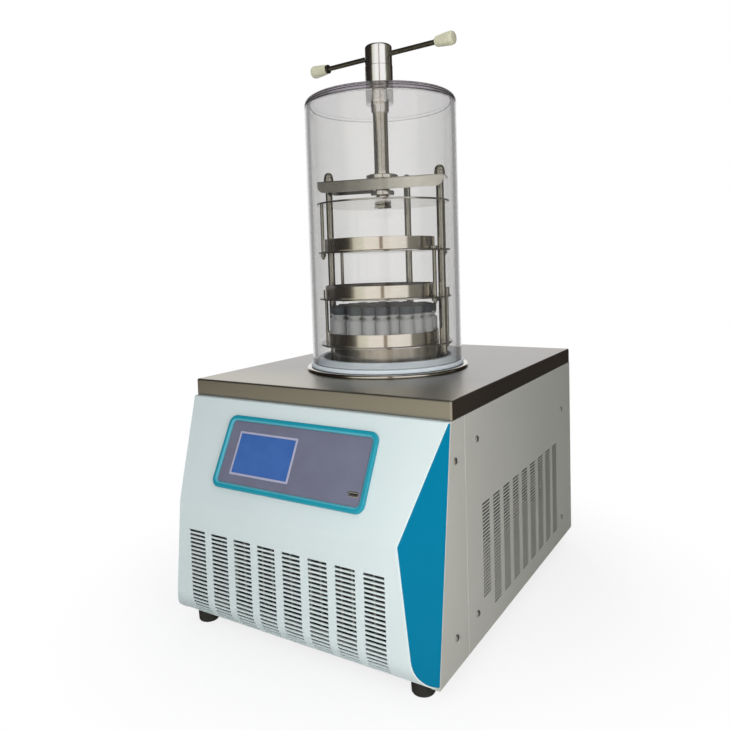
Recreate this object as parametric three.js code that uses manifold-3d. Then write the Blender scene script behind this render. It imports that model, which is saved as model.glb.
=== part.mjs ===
// Bench freeze dryer: a refrigerated cabinet with a cold trap in its deck, a clear vacuum chamber
// on the deck, and inside it a shelf rack that is pressed down from a handle on the lid.
// Millimetres, +Z up, front towards -Y. The origin lies on the floor under the middle of the object.
import * as THREE from "three";
import { mergeGeometries, mergeVertices } from "three/addons/utils/BufferGeometryUtils.js";
import Module from "manifold-3d";

const wasm = await Module();
wasm.setup();

// Driving sizes ---------------------------------------------------------------------------------
const GAP = 0.3; // clearance where one piece seats on another
const SHEET = 1.5; // wall of every folded sheet
const FLANGE = 12; // inward fold along a panel's edge

const DECK_WIDTH = 450;
const DECK_DEPTH = 540;
const DECK_RIM = 26; // height of the deck's folded edge
const BODY_HEIGHT = 353; // from the deck's top to the underside of the cabinet
const FOOT_HEIGHT = 23;
const FOOT_RADIUS = 17;
const FOOT_FROM_SIDE = 35;
const FOOT_FROM_FRONT = -30; // forward of the deck's front edge
const FOOT_FROM_REAR = 42;

const FRONT_TOP_REACH = 8; // how far the front panel stands forward under the deck
const FRONT_REACH = 83; // how far its lower face stands forward
const KNEE_DROP = 167; // from the deck's top to the bend in the front panel
const FRONT_LOWER_RADIUS = 46;
const CHEEK_LEAN = 0.15; // how the cheek's rear edge moves forward for each mm down
const CHEEK_TAPER = 0.69; // how far the front narrows for each mm forward
const CHEEK_THICKNESS = 2;
const SEAM_Y = 38; // joint between corner post and side panel, behind the deck's front edge

const SLOT_COLUMNS = 8;
const SLOT_ROWS = 22;
const SLOT_WIDTH = 31;
const SLOT_HEIGHT = 3;
const SLOT_COLUMN_PITCH = 43.5;
const SLOT_ROW_PITCH = 6.1;
const SLOTS_BELOW_KNEE = 43;

const SIDE_VENTS = 9;
const SIDE_VENT_WIDTH = 28;
const SIDE_VENT_PITCH = 41;
const SIDE_VENT_FROM_SEAM = 55;
const SIDE_VENT_TOP = 163; // below the deck's top
const SIDE_VENT_BOTTOM = 324;
const FIRST_VENT_BOTTOM = 300; // the first column stops above the panel's screw

const FRAME_WIDTH = 262;
const FRAME_HEIGHT = 108;
const FRAME_BAND = 7;
const FRAME_RISE = 4.5;
const FRAME_CORNER = 14;
const FRAME_FROM_TOP = 23; // down the slope from the front panel's top fold
const SCREEN_WIDTH = 107;
const SCREEN_HEIGHT = 64;
const SCREEN_LIP = 4.5; // rim of the screen beyond its body
const SCREEN_X = -50.5;
const SCREEN_DROP = 1; // below the middle of the display panel
const PORT_X = 111;
const PORT_DROP = 30;
const PORT_LENGTH = 17;
const PORT_WIDTH = 7;

const CHAMBER_Y = 227; // axis of the chamber, behind the deck's front edge
const TRAP_RADIUS = 100; // inside of the cold trap
const TRAP_DEPTH = 185;
const TRAP_LIP = 9;
const FLANGE_RADIUS = 137;
const FLANGE_HEIGHT = 5.5;
const TUBE_RADIUS = 127;
const TUBE_WALL = 8;
const TUBE_TOP = 438; // underside of the lid, above the deck
const CHAMBER_SIDES = 40; // sides of the chamber's round pieces
const GASKET_HEIGHT = 6;
const GASKET_LIP = 10; // how far the gasket's inner lip rises inside the tube
const LID_THICKNESS = 14;
const LID_EDGE_RADIUS = 12;

const SPINDLE_RADIUS = 12.7;
const RUNNING = 0.3; // radial clearance of the spindle and of the turning head
const PRESS_TRAVEL = 10;
const GLAND_RADIUS = 23.5;
const GLAND_HEIGHT = 51.6;
const GLAND_NOSE = 11; // below the lid
const GLAND_NOSE_WALL = 2;
const HEAD_RADIUS = 23;
const HEAD_HEIGHT = 35;
const HEAD_TAIL = 40;
const BAR_RADIUS = 4.2;
const BAR_REACH = 139;
const BAR_ABOVE_HEAD_SEAT = 17.4;
const GRIP_LENGTH = 32;
const GRIP_RADIUS = 11;
const HANDLE_TURN = -5; // degrees from the machine's width

const RACK_TURN = 14; // degrees from the machine's width
const PLATE_RADIUS = 112;
const PLATE_THICKNESS = 3;
const COLUMN_RADIUS = 6.2;
const COLUMN_CIRCLE = 98;
const REAR_COLUMN_ANGLE = 78.6;
const SHELF_3_HEIGHT = 42; // underside of the lowest shelf above the deck
const SHELF_PITCH = 76.3;
const PRESS_PLATE_HEIGHT = 274.6;
const BEAM_HEIGHT = 317; // top of the beam above the deck
const BEAM_LENGTH = 216;
const BEAM_WIDTH = 60;
const BEAM_DEPTH = 19;
const BEAM_SHEET = 2.5;
const SKIRT_RADIUS = 91.5;
const ROD_RADIUS = 3;
const ROD_CIRCLE = 104;
const ROD_NUT = 4.5;
const TRAY_RADIUS = 92;
const TRAY_HEIGHT = 20;
const TRAY_WALL = 1;
const VIAL_RADIUS = 11;
const VIAL_HEIGHT = 61;
const VIAL_NIP = 0.2; // how far neighbouring vials press into each other

const FAN_MARGIN = 12; // between the fan and the edge of the condenser
const CONDENSER_WIDTH = 300;
const CONDENSER_HEIGHT = BODY_HEIGHT - KNEE_DROP - 1; // ends below the display
const CONDENSER_DEPTH = 36;
const COMPRESSOR_RADIUS = 70;
const COMPRESSOR_HEIGHT = 185;
const REAR_REACH = 26; // how far the ports stand out behind the rear panel

// Heights and lines worked out from them ----------------------------------------------------------
const DECK_TOP = FOOT_HEIGHT + BODY_HEIGHT;
const HALF_WIDTH = DECK_WIDTH / 2;
const PANEL_TOP = DECK_TOP - DECK_RIM - GAP;
const BODY_BOTTOM = FOOT_HEIGHT;
const PAN_FLOOR = BODY_BOTTOM + SHEET;
const PAN_RIM = 20;
const PAN_REAR = DECK_DEPTH - SHEET - 2 * GAP;
const KNEE_Z = DECK_TOP - KNEE_DROP;
const SLOPE = new THREE.Vector2(FRONT_TOP_REACH - FRONT_REACH, KNEE_Z - PANEL_TOP).normalize();
const FLANGE_FOOT = BODY_BOTTOM + PAN_RIM + 2; // the panels' side folds stop above the base pan
const TUBE_FOOT = FLANGE_HEIGHT + GAP + GASKET_HEIGHT + GAP;
const LID_TOP = TUBE_TOP + LID_THICKNESS;
const GLAND_TOP = LID_TOP + GAP + GLAND_HEIGHT;
const HEAD_FOOT = GLAND_TOP + GAP;
const BORE = SPINDLE_RADIUS + RUNNING;
const COLUMN_HOLE = COLUMN_RADIUS + 0.5;
const SHELF_2_HEIGHT = SHELF_3_HEIGHT + SHELF_PITCH;
const SHELF_1_HEIGHT = SHELF_2_HEIGHT + SHELF_PITCH;
const degrees = THREE.MathUtils.degToRad;

// Shape tools -------------------------------------------------------------------------------------
function solidOf(geometry) {
  const bare = geometry.clone();
  bare.deleteAttribute("normal");
  bare.deleteAttribute("uv");
  const merged = mergeVertices(bare);
  const corners = [];
  for (let i = 0; i < merged.index.count; i += 3) {
    const [a, b, c] = [0, 1, 2].map((k) => merged.index.getX(i + k));
    if (a !== b && b !== c && c !== a) corners.push(a, b, c);
  }
  const vertProperties = new Float32Array(merged.attributes.position.array);
  return new wasm.Manifold(
    new wasm.Mesh({ numProp: 3, vertProperties, triVerts: new Uint32Array(corners) }),
  );
}

function geometryOf(solid) {
  const { vertProperties, triVerts } = solid.getMesh();
  return new THREE.BufferGeometry()
    .setAttribute("position", new THREE.BufferAttribute(new Float32Array(vertProperties), 3))
    .setIndex(new THREE.BufferAttribute(new Uint32Array(triVerts), 1));
}

const combine = (how) => (first, ...rest) =>
  geometryOf(rest.reduce((sum, next) => sum[how](solidOf(next)), solidOf(first)));
const join = combine("add");
const cut = combine("subtract");
const common = combine("intersect");

// Separate closed shapes as one cutter.
const cutters = (list) => mergeGeometries(list.map((g) => (g.index ? g.toNonIndexed() : g)).map(bareOf));

function bareOf(geometry) {
  geometry.deleteAttribute("normal");
  geometry.deleteAttribute("uv");
  return geometry;
}

// A box from its lowest to its highest corner.
function block([x0, y0, z0], [x1, y1, z1]) {
  const box = new THREE.BoxGeometry(x1 - x0, y1 - y0, z1 - z0);
  return box.translate((x0 + x1) / 2, (y0 + y1) / 2, (z0 + z1) / 2);
}

// A turned piece about Z from its [radius, height] profile, on the axis at both ends or closed.
function turned(profile, segments = 28) {
  const area = profile.reduce((sum, [r, z], i) => {
    const [nextR, nextZ] = profile[(i + 1) % profile.length];
    return sum + r * nextZ - nextR * z;
  }, 0);
  const ordered = area > 0 ? profile : [...profile].reverse();
  const points = ordered.map(([r, z]) => new THREE.Vector2(r, z));
  if (points[0].x > 0) points.push(points[0].clone());
  return new THREE.LatheGeometry(points, segments).rotateX(Math.PI / 2);
}

const rod = (radius, z0, z1, segments = 20) =>
  turned([[0, z0], [radius, z0], [radius, z1], [0, z1]], segments);
const ring = (inner, outer, z0, z1, segments = 40) =>
  turned([[inner, z0], [outer, z0], [outer, z1], [inner, z1]], segments);

// Turns a piece made about Z to lie along Y, its top towards the rear.
const alongY = (geometry) => geometry.rotateX(-Math.PI / 2);
// Turns a piece made about Z to lie along X.
const alongX = (geometry) => geometry.rotateY(Math.PI / 2);

// A side view outline of [y, z] points, run from x0 to x1.
function acrossX(outline, x0, x1) {
  const shape = new THREE.Shape(outline.map(([y, z]) => new THREE.Vector2(y, z)));
  const turn = new THREE.Matrix4().makeBasis(
    new THREE.Vector3(0, 1, 0),
    new THREE.Vector3(0, 0, 1),
    new THREE.Vector3(1, 0, 0),
  );
  const bar = new THREE.ExtrudeGeometry(shape, { depth: x1 - x0, bevelEnabled: false });
  return bar.applyMatrix4(turn).translate(x0, 0, 0);
}

// A rounded rectangle plate about the middle, from z0 to z1.
function roundedPlate(width, height, corner, z0, z1) {
  const shape = new THREE.Shape();
  const [w, h] = [width / 2 - corner, height / 2 - corner];
  shape.absarc(w, h, corner, 0, Math.PI / 2);
  shape.absarc(-w, h, corner, Math.PI / 2, Math.PI);
  shape.absarc(-w, -h, corner, Math.PI, 1.5 * Math.PI);
  shape.absarc(w, -h, corner, 1.5 * Math.PI, 2 * Math.PI);
  const plate = new THREE.ExtrudeGeometry(shape, {
    depth: z1 - z0,
    bevelEnabled: false,
    curveSegments: corner > 5 ? 4 : 2,
  });
  return plate.translate(0, 0, z0);
}

// The line that lies a distance to the left of a line of [y, z] points.
function offsetLine(line, distance) {
  return line.map(([y, z], i) => {
    const point = new THREE.Vector2(y, z);
    const before = line[i - 1] ?? [2 * y - line[i + 1][0], 2 * z - line[i + 1][1]];
    const after = line[i + 1] ?? [2 * y - line[i - 1][0], 2 * z - line[i - 1][1]];
    const arriving = point.clone().sub(new THREE.Vector2(...before)).normalize();
    const leaving = new THREE.Vector2(...after).sub(point).normalize();
    const [n1, n2] = [arriving, leaving].map((d) => new THREE.Vector2(-d.y, d.x));
    const mitre = n1.clone().add(n2).multiplyScalar(distance / (1 + n1.dot(n2)));
    return [y + mitre.x, z + mitre.y];
  });
}

const foldedSheet = (line, thickness) => [...line, ...offsetLine(line, thickness).reverse()];

const arc = (y, z, radius, from, to, steps) =>
  Array.from({ length: steps + 1 }, (_, i) => {
    const angle = degrees(from + ((to - from) * i) / steps);
    return [y + radius * Math.cos(angle), z + radius * Math.sin(angle)];
  });

// Materials and assembly --------------------------------------------------------------------------
const finish = (color, roughness, metalness = 0, opacity = 1) => () =>
  new THREE.MeshStandardMaterial({
    color,
    roughness,
    metalness,
    opacity,
    transparent: opacity < 1,
    flatShading: true,
  });
const paleSteel = finish(0xd8e4e2, 0.45);
const greySteel = finish(0xb4b4ac, 0.5);
const tealSheet = finish(0x007da3, 0.45);
const stainless = finish(0xb9b8ba, 0.25, 1);
const polished = finish(0xd8d4cc, 0.12, 1);
const darkSteel = finish(0x4a4842, 0.35, 1);
const blackRubber = finish(0x141414, 0.85);
const blackPlastic = finish(0x1c1c1e, 0.5);
const tealPlastic = finish(0x2bb4cc, 0.4);
const greyFilm = finish(0x70718a, 0.5);
const blueGlass = finish(0x4165aa, 0.2);
const clearAcrylic = finish(0xe8ebee, 0.05, 0, 0.35);
const whiteSilicone = finish(0xe6ecf2, 0.6);
const ivoryPlastic = finish(0xe1deb8, 0.45);
const foam = finish(0x2a2a2a, 0.9);
const copper = finish(0xb87333, 0.35, 1);
const aluminium = finish(0xc4c6c8, 0.4, 1);
const greenBoard = finish(0x1f5a34, 0.6);
const vialGlass = finish(0xdfe6e6, 0.1, 0, 0.5);

const machine = new THREE.Group();
machine.position.y = (FRONT_REACH - DECK_DEPTH - REAR_REACH) / 2;

function piece(parent, name, geometry, material) {
  const mesh = new THREE.Mesh(geometry, material());
  mesh.name = name;
  parent.add(mesh);
}

// Cabinet -----------------------------------------------------------------------------------------
// Where the cheek's rear edge lies at a height.
const leanY = (z) => -FRONT_TOP_REACH / 2 - CHEEK_LEAN * (PANEL_TOP - z);
const PAN_FRONT = Math.max(FRONT_LOWER_RADIUS - FRONT_REACH, leanY(BODY_BOTTOM + PAN_RIM)) + GAP;

// Outer side line of the front panel, from its top fold down to the base pan.
const frontLine = [
  [FLANGE, PANEL_TOP],
  [-FRONT_TOP_REACH, PANEL_TOP],
  [-FRONT_REACH, KNEE_Z],
  ...arc(
    FRONT_LOWER_RADIUS - FRONT_REACH,
    BODY_BOTTOM + FRONT_LOWER_RADIUS,
    FRONT_LOWER_RADIUS,
    180,
    270,
    7,
  ),
];

// The space between the two cheek planes, each drawn in by a distance measured through the plate.
function betweenCheeks(inset) {
  const across = inset * Math.hypot(1, CHEEK_TAPER, CHEEK_TAPER * CHEEK_LEAN);
  const shape = new THREE.BoxGeometry(1, 1, 1);
  const corners = shape.attributes.position;
  for (let i = 0; i < corners.count; i++) {
    const y = corners.getY(i) * 4 * FRONT_REACH;
    const z = DECK_TOP / 2 + corners.getZ(i) * 1.2 * DECK_TOP;
    const half = HALF_WIDTH - CHEEK_TAPER * (leanY(z) - y) - across;
    corners.setXYZ(i, corners.getX(i) * 2 * half, y, z);
  }
  return shape;
}

// Places a shape made flat about the middle of the display panel onto the sloping front.
const frameMiddle = FRAME_FROM_TOP + FRAME_HEIGHT / 2;
const slopePlace = new THREE.Matrix4()
  .makeTranslation(
    0,
    SLOPE.x * frameMiddle - FRONT_TOP_REACH,
    PANEL_TOP + SLOPE.y * frameMiddle,
  )
  .multiply(new THREE.Matrix4().makeRotationX(Math.atan2(-SLOPE.y, -SLOPE.x)));

function frontSlots() {
  const slots = [];
  const straight = KNEE_Z - SLOTS_BELOW_KNEE - BODY_BOTTOM - FRONT_LOWER_RADIUS;
  const centre = [FRONT_LOWER_RADIUS - FRONT_REACH, BODY_BOTTOM + FRONT_LOWER_RADIUS];
  for (let row = 0; row < SLOT_ROWS; row++) {
    const down = row * SLOT_ROW_PITCH;
    const turn = Math.max(0, down - straight) / FRONT_LOWER_RADIUS;
    const lift = Math.max(0, straight - down);
    for (let column = 0; column < SLOT_COLUMNS; column++) {
      const slot = new THREE.BoxGeometry(SLOT_WIDTH, 4 * SHEET, SLOT_HEIGHT);
      slot.translate(0, -FRONT_LOWER_RADIUS, 0).rotateX(turn);
      slot.translate((column - (SLOT_COLUMNS - 1) / 2) * SLOT_COLUMN_PITCH, centre[0], centre[1] + lift);
      slots.push(slot);
    }
  }
  return cutters(slots);
}

function frontPanel() {
  const inside = HALF_WIDTH - SHEET - GAP;
  const sheet = common(acrossX(foldedSheet(frontLine, SHEET), -inside, inside), betweenCheeks(0));
  const screenHole = roundedPlate(
    SCREEN_WIDTH - 2 * SCREEN_LIP + 2 * GAP,
    SCREEN_HEIGHT - 2 * SCREEN_LIP + 2 * GAP,
    2,
    -4 * SHEET,
    SHEET,
  ).translate(SCREEN_X, -SCREEN_DROP, 0);
  const portHole = roundedPlate(PORT_LENGTH - 3, PORT_WIDTH - 2, PORT_WIDTH / 2 - 1.5, -4 * SHEET, SHEET);
  portHole.translate(PORT_X, -PORT_DROP, 0);
  return cut(
    sheet,
    frontSlots(),
    screenHole.applyMatrix4(slopePlace),
    portHole.applyMatrix4(slopePlace),
  );
}

function cheek(side) {
  const inner = offsetLine(frontLine, SHEET + GAP).slice(1);
  const [x0, x1] = side > 0 ? [0, HALF_WIDTH] : [-HALF_WIDTH, 0];
  const filled = acrossX([...inner, [FLANGE, inner.at(-1)[1]], [FLANGE, inner[0][1]]], x0, x1);
  const [low, high] = [BODY_BOTTOM, PANEL_TOP];
  const ahead = acrossX(
    [[-2 * FRONT_REACH, low], [leanY(low) - GAP, low], [leanY(high) - GAP, high], [-2 * FRONT_REACH, high]],
    x0,
    x1,
  );
  return cut(common(filled, ahead, betweenCheeks(GAP)), betweenCheeks(CHEEK_THICKNESS));
}

function cornerPost(side) {
  const seam = SEAM_Y - GAP / 2;
  const plateTo = (z0, z1) => [
    [leanY(z0), z0],
    [seam, z0],
    [seam, z1],
    [leanY(z1), z1],
  ];
  const spanX = (depth) => {
    const ends = [side * HALF_WIDTH, side * (HALF_WIDTH - depth)];
    return [Math.min(...ends), Math.max(...ends)];
  };
  const flangeTop = PANEL_TOP - SHEET - GAP;
  const face = acrossX(plateTo(BODY_BOTTOM, PANEL_TOP), ...spanX(SHEET));
  const frontFold = acrossX(
    [
      [leanY(FLANGE_FOOT), FLANGE_FOOT],
      [leanY(FLANGE_FOOT) + SHEET, FLANGE_FOOT],
      [leanY(flangeTop) + SHEET, flangeTop],
      [leanY(flangeTop), flangeTop],
    ],
    ...spanX(FLANGE),
  );
  const [x0, x1] = spanX(FLANGE);
  const rearFold = block([x0, seam - SHEET, FLANGE_FOOT], [x1, seam, PANEL_TOP]);
  return join(face, frontFold, rearFold);
}

function sideVents(side) {
  return cutters(
    Array.from({ length: SIDE_VENTS }, (_, i) => {
      const y = SEAM_Y + SIDE_VENT_FROM_SEAM + i * SIDE_VENT_PITCH;
      const bottom = DECK_TOP - (i === 0 ? FIRST_VENT_BOTTOM : SIDE_VENT_BOTTOM);
      const [inner, outer] = [HALF_WIDTH - 2 * SHEET, HALF_WIDTH + SHEET];
      const [x0, x1] = side > 0 ? [inner, outer] : [-outer, -inner];
      return block([x0, y, bottom], [x1, y + SIDE_VENT_WIDTH, DECK_TOP - SIDE_VENT_TOP]);
    }),
  );
}

function sidePanel(side) {
  const [front, rear] = [SEAM_Y + GAP / 2, PAN_REAR];
  const across = (a, b) => [Math.min(side * a, side * b), Math.max(side * a, side * b)];
  const [x0, x1] = across(HALF_WIDTH, HALF_WIDTH - FLANGE);
  const [h0, h1] = across(HALF_WIDTH - SHEET, HALF_WIDTH - FLANGE - 1);
  const full = block([x0, front, BODY_BOTTOM], [x1, rear, PANEL_TOP]);
  const hollow = block([h0, front + SHEET, BODY_BOTTOM - 1], [h1, rear - SHEET, PANEL_TOP - SHEET]);
  const foot = block([h0, front - 1, BODY_BOTTOM - 1], [h1, rear + 1, FLANGE_FOOT]);
  return cut(full, hollow, foot, sideVents(side));
}

function deck() {
  const full = block([-HALF_WIDTH, 0, DECK_TOP - DECK_RIM], [HALF_WIDTH, DECK_DEPTH, DECK_TOP]);
  const inside = HALF_WIDTH - SHEET;
  const hollow = block(
    [-inside, SHEET, DECK_TOP - DECK_RIM - 1],
    [inside, DECK_DEPTH - SHEET, DECK_TOP - SHEET],
  );
  const hole = rod(TRAP_RADIUS + SHEET + 1, DECK_TOP - 2 * SHEET, DECK_TOP + 1, 48);
  return cut(full, hollow, hole.translate(0, CHAMBER_Y, 0));
}

function basePan() {
  const outer = HALF_WIDTH - SHEET - GAP;
  const full = block([-outer, PAN_FRONT, BODY_BOTTOM], [outer, PAN_REAR, BODY_BOTTOM + PAN_RIM]);
  const inner = outer - SHEET;
  return cut(
    full,
    block([-inner, PAN_FRONT + SHEET, PAN_FLOOR], [inner, PAN_REAR - SHEET, DECK_TOP]),
  );
}

function foot() {
  const top = FOOT_HEIGHT - GAP;
  return turned(
    [[0, 0], [FOOT_RADIUS - 4, 0], [FOOT_RADIUS - 1, 3], [FOOT_RADIUS, top], [0, top]],
    16,
  );
}

function buildCabinet() {
  piece(machine, "front_panel", frontPanel(), paleSteel);
  piece(machine, "deck", deck(), stainless);
  piece(machine, "base_pan", basePan(), greySteel);
  for (const [side, name] of [[-1, "left"], [1, "right"]]) {
    piece(machine, "cheek_" + name, cheek(side), tealSheet);
    piece(machine, "corner_post_" + name, cornerPost(side), greySteel);
    piece(machine, "side_panel_" + name, sidePanel(side), greySteel);
    for (const [y, end] of [[FOOT_FROM_FRONT, "front"], [DECK_DEPTH - FOOT_FROM_REAR, "rear"]]) {
      const x = side * (HALF_WIDTH - FOOT_FROM_SIDE);
      piece(machine, "foot_" + end + "_" + name, foot().translate(x, y, 0), blackRubber);
    }
  }
}

// Display on the sloping front --------------------------------------------------------------------
const DISPLAY_PLATE = 1.7;
const SCREEN_BODY = 8;

function buildDisplay() {
  const display = new THREE.Group();
  display.applyMatrix4(slopePlace);
  machine.add(display);

  const opening = [FRAME_WIDTH - 2 * FRAME_BAND, FRAME_HEIGHT - 2 * FRAME_BAND];
  const frame = cut(
    roundedPlate(FRAME_WIDTH, FRAME_HEIGHT, FRAME_CORNER, GAP, GAP + FRAME_RISE),
    roundedPlate(...opening, FRAME_CORNER - FRAME_BAND, -1, FRAME_RISE + 2),
  );
  piece(display, "display_frame", frame, tealPlastic);

  const [screenW, screenH] = [SCREEN_WIDTH, SCREEN_HEIGHT];
  const panel = cut(
    roundedPlate(
      opening[0] - 2 * GAP,
      opening[1] - 2 * GAP,
      FRAME_CORNER - FRAME_BAND - GAP,
      GAP,
      GAP + DISPLAY_PLATE,
    ),
    roundedPlate(screenW + 2 * GAP, screenH + 2 * GAP, 2, -1, 5).translate(SCREEN_X, -SCREEN_DROP, 0),
    roundedPlate(PORT_LENGTH + 2 * GAP, PORT_WIDTH + 2 * GAP, PORT_WIDTH / 2, -1, 5).translate(
      PORT_X,
      -PORT_DROP,
      0,
    ),
  );
  piece(display, "display_panel", panel, greyFilm);

  const screen = join(
    roundedPlate(screenW, screenH, 2, GAP, GAP + DISPLAY_PLATE + 0.6),
    roundedPlate(screenW - 2 * SCREEN_LIP, screenH - 2 * SCREEN_LIP, 2, -SCREEN_BODY, 1),
  );
  piece(display, "touch_screen", screen.translate(SCREEN_X, -SCREEN_DROP, 0), blueGlass);

  const port = cut(
    join(
      roundedPlate(PORT_LENGTH, PORT_WIDTH, PORT_WIDTH / 2 - GAP, GAP, GAP + DISPLAY_PLATE + 0.4),
      roundedPlate(PORT_LENGTH - 4, PORT_WIDTH - 3, PORT_WIDTH / 2 - 2, -6, 1),
    ),
    block([-4.5, -1.6, -4], [4.5, 1.6, 5]),
  );
  piece(display, "data_port", port.translate(PORT_X, -PORT_DROP, 0), blackPlastic);

  const back = -SCREEN_BODY - GAP;
  const board = join(
    block([-112, -44, back - 1.6], [118, 44, back]),
    block([20, -30, back - 16], [52, -4, back - 1]),
    block([62, -34, back - 20], [96, 6, back - 1]),
    block([-100, 14, back - 12], [-40, 34, back - 1]),
  );
  piece(display, "control_board", board, greenBoard);
}

// Cold trap and chamber, about the chamber's axis with the deck's top at height 0 -------------------
const COIL_RADIUS = 4;
const COIL_TURNS = 2;
const COIL_PITCH = 45;
const COIL_STEPS = 14; // straight lengths in a turn
const VACUUM_PIPE_RADIUS = 12.7;
const VACUUM_PIPE_DROP = 60;
const INSULATION_GAP = 2 * COIL_RADIUS + 4;
const INSULATION_WALL = 22;

function evaporatorCoil() {
  const radius = (TRAP_RADIUS + SHEET + GAP + COIL_RADIUS) / Math.cos(Math.PI / COIL_STEPS);
  const points = Array.from({ length: COIL_TURNS * COIL_STEPS + 1 }, (_, i) => {
    const angle = (2 * Math.PI * i) / COIL_STEPS;
    const z = COIL_RADIUS + 12 - TRAP_DEPTH + (COIL_PITCH * i) / COIL_STEPS;
    return new THREE.Vector3(radius * Math.cos(angle), radius * Math.sin(angle), z);
  });
  const path = new THREE.CurvePath();
  points.slice(1).forEach((point, i) => path.add(new THREE.LineCurve3(points[i], point)));
  const section = new THREE.Shape();
  section.absarc(0, 0, COIL_RADIUS, 0, 2 * Math.PI);
  return new THREE.ExtrudeGeometry(section, {
    steps: points.length - 1,
    curveSegments: 3,
    bevelEnabled: false,
    extrudePath: path,
  });
}

function vacuumPipe() {
  const start = TRAP_RADIUS - 2;
  const end = DECK_DEPTH + REAR_REACH - CHAMBER_Y;
  const [outer, inner] = [VACUUM_PIPE_RADIUS, VACUUM_PIPE_RADIUS - SHEET];
  const flange = outer + 7;
  const profile = [
    [inner, start],
    [outer, start],
    [outer, end - 8],
    [flange, end - 5],
    [flange, end],
    [inner, end],
  ];
  return alongY(turned(profile, 16)).translate(0, 0, -VACUUM_PIPE_DROP);
}

function buildTrap(station) {
  const wall = TRAP_RADIUS + SHEET;
  const pipeHole = () =>
    alongY(rod(VACUUM_PIPE_RADIUS + GAP, 0, 2 * TRAP_RADIUS)).translate(0, 0, -VACUUM_PIPE_DROP);
  const pot = turned(
    [
      [0, -TRAP_DEPTH],
      [wall, -TRAP_DEPTH],
      [wall, GAP],
      [wall + TRAP_LIP - SHEET, GAP],
      [wall + TRAP_LIP - SHEET, GAP + SHEET],
      [TRAP_RADIUS, GAP + SHEET],
      [TRAP_RADIUS, SHEET - TRAP_DEPTH],
      [0, SHEET - TRAP_DEPTH],
    ],
    32,
  );
  piece(station, "cold_trap", cut(pot, pipeHole()), stainless);
  piece(station, "evaporator_coil", evaporatorCoil(), copper);

  const inner = wall + INSULATION_GAP;
  const outer = inner + INSULATION_WALL;
  const top = -SHEET - GAP;
  const jacket = turned(
    [
      [0, -TRAP_DEPTH - INSULATION_WALL],
      [outer, -TRAP_DEPTH - INSULATION_WALL],
      [outer, top],
      [inner, top],
      [inner, -TRAP_DEPTH - GAP],
      [0, -TRAP_DEPTH - GAP],
    ],
    24,
  );
  piece(station, "trap_insulation", cut(jacket, pipeHole()), foam);
  piece(station, "vacuum_pipe", vacuumPipe(), stainless);
}

function buildChamber(station) {
  const seat = TRAP_RADIUS + TRAP_LIP + 2 * GAP;
  const flange = turned(
    [
      [seat, GAP],
      [FLANGE_RADIUS, GAP],
      [FLANGE_RADIUS, FLANGE_HEIGHT - 3],
      [FLANGE_RADIUS - 3, FLANGE_HEIGHT],
      [seat, FLANGE_HEIGHT],
    ],
    CHAMBER_SIDES,
  );
  piece(station, "chamber_flange", flange, polished);

  const bore = TUBE_RADIUS - TUBE_WALL;
  const gasketFoot = FLANGE_HEIGHT + GAP;
  const gasketTop = gasketFoot + GASKET_HEIGHT;
  const gasket = turned(
    [
      [bore - 11, gasketFoot],
      [TUBE_RADIUS + 3, gasketFoot],
      [TUBE_RADIUS + 3, gasketTop],
      [bore - 1, gasketTop],
      [bore - 1, gasketTop + GASKET_LIP],
      [bore - 11, gasketTop + GASKET_LIP],
    ],
    CHAMBER_SIDES,
  );
  piece(station, "chamber_gasket", gasket, whiteSilicone);
  const tube = ring(bore, TUBE_RADIUS, TUBE_FOOT, TUBE_TOP - GAP, CHAMBER_SIDES);
  piece(station, "chamber_tube", tube, clearAcrylic);

  const noseHole = BORE + GLAND_NOSE_WALL + GAP;
  const lid = turned(
    [
      [noseHole, TUBE_TOP],
      [TUBE_RADIUS, TUBE_TOP],
      ...arc(TUBE_RADIUS - LID_EDGE_RADIUS, LID_TOP - LID_EDGE_RADIUS, LID_EDGE_RADIUS, 0, 90, 3),
      [noseHole, LID_TOP],
    ],
    CHAMBER_SIDES,
  );
  piece(station, "chamber_lid", lid, clearAcrylic);
}

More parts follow.
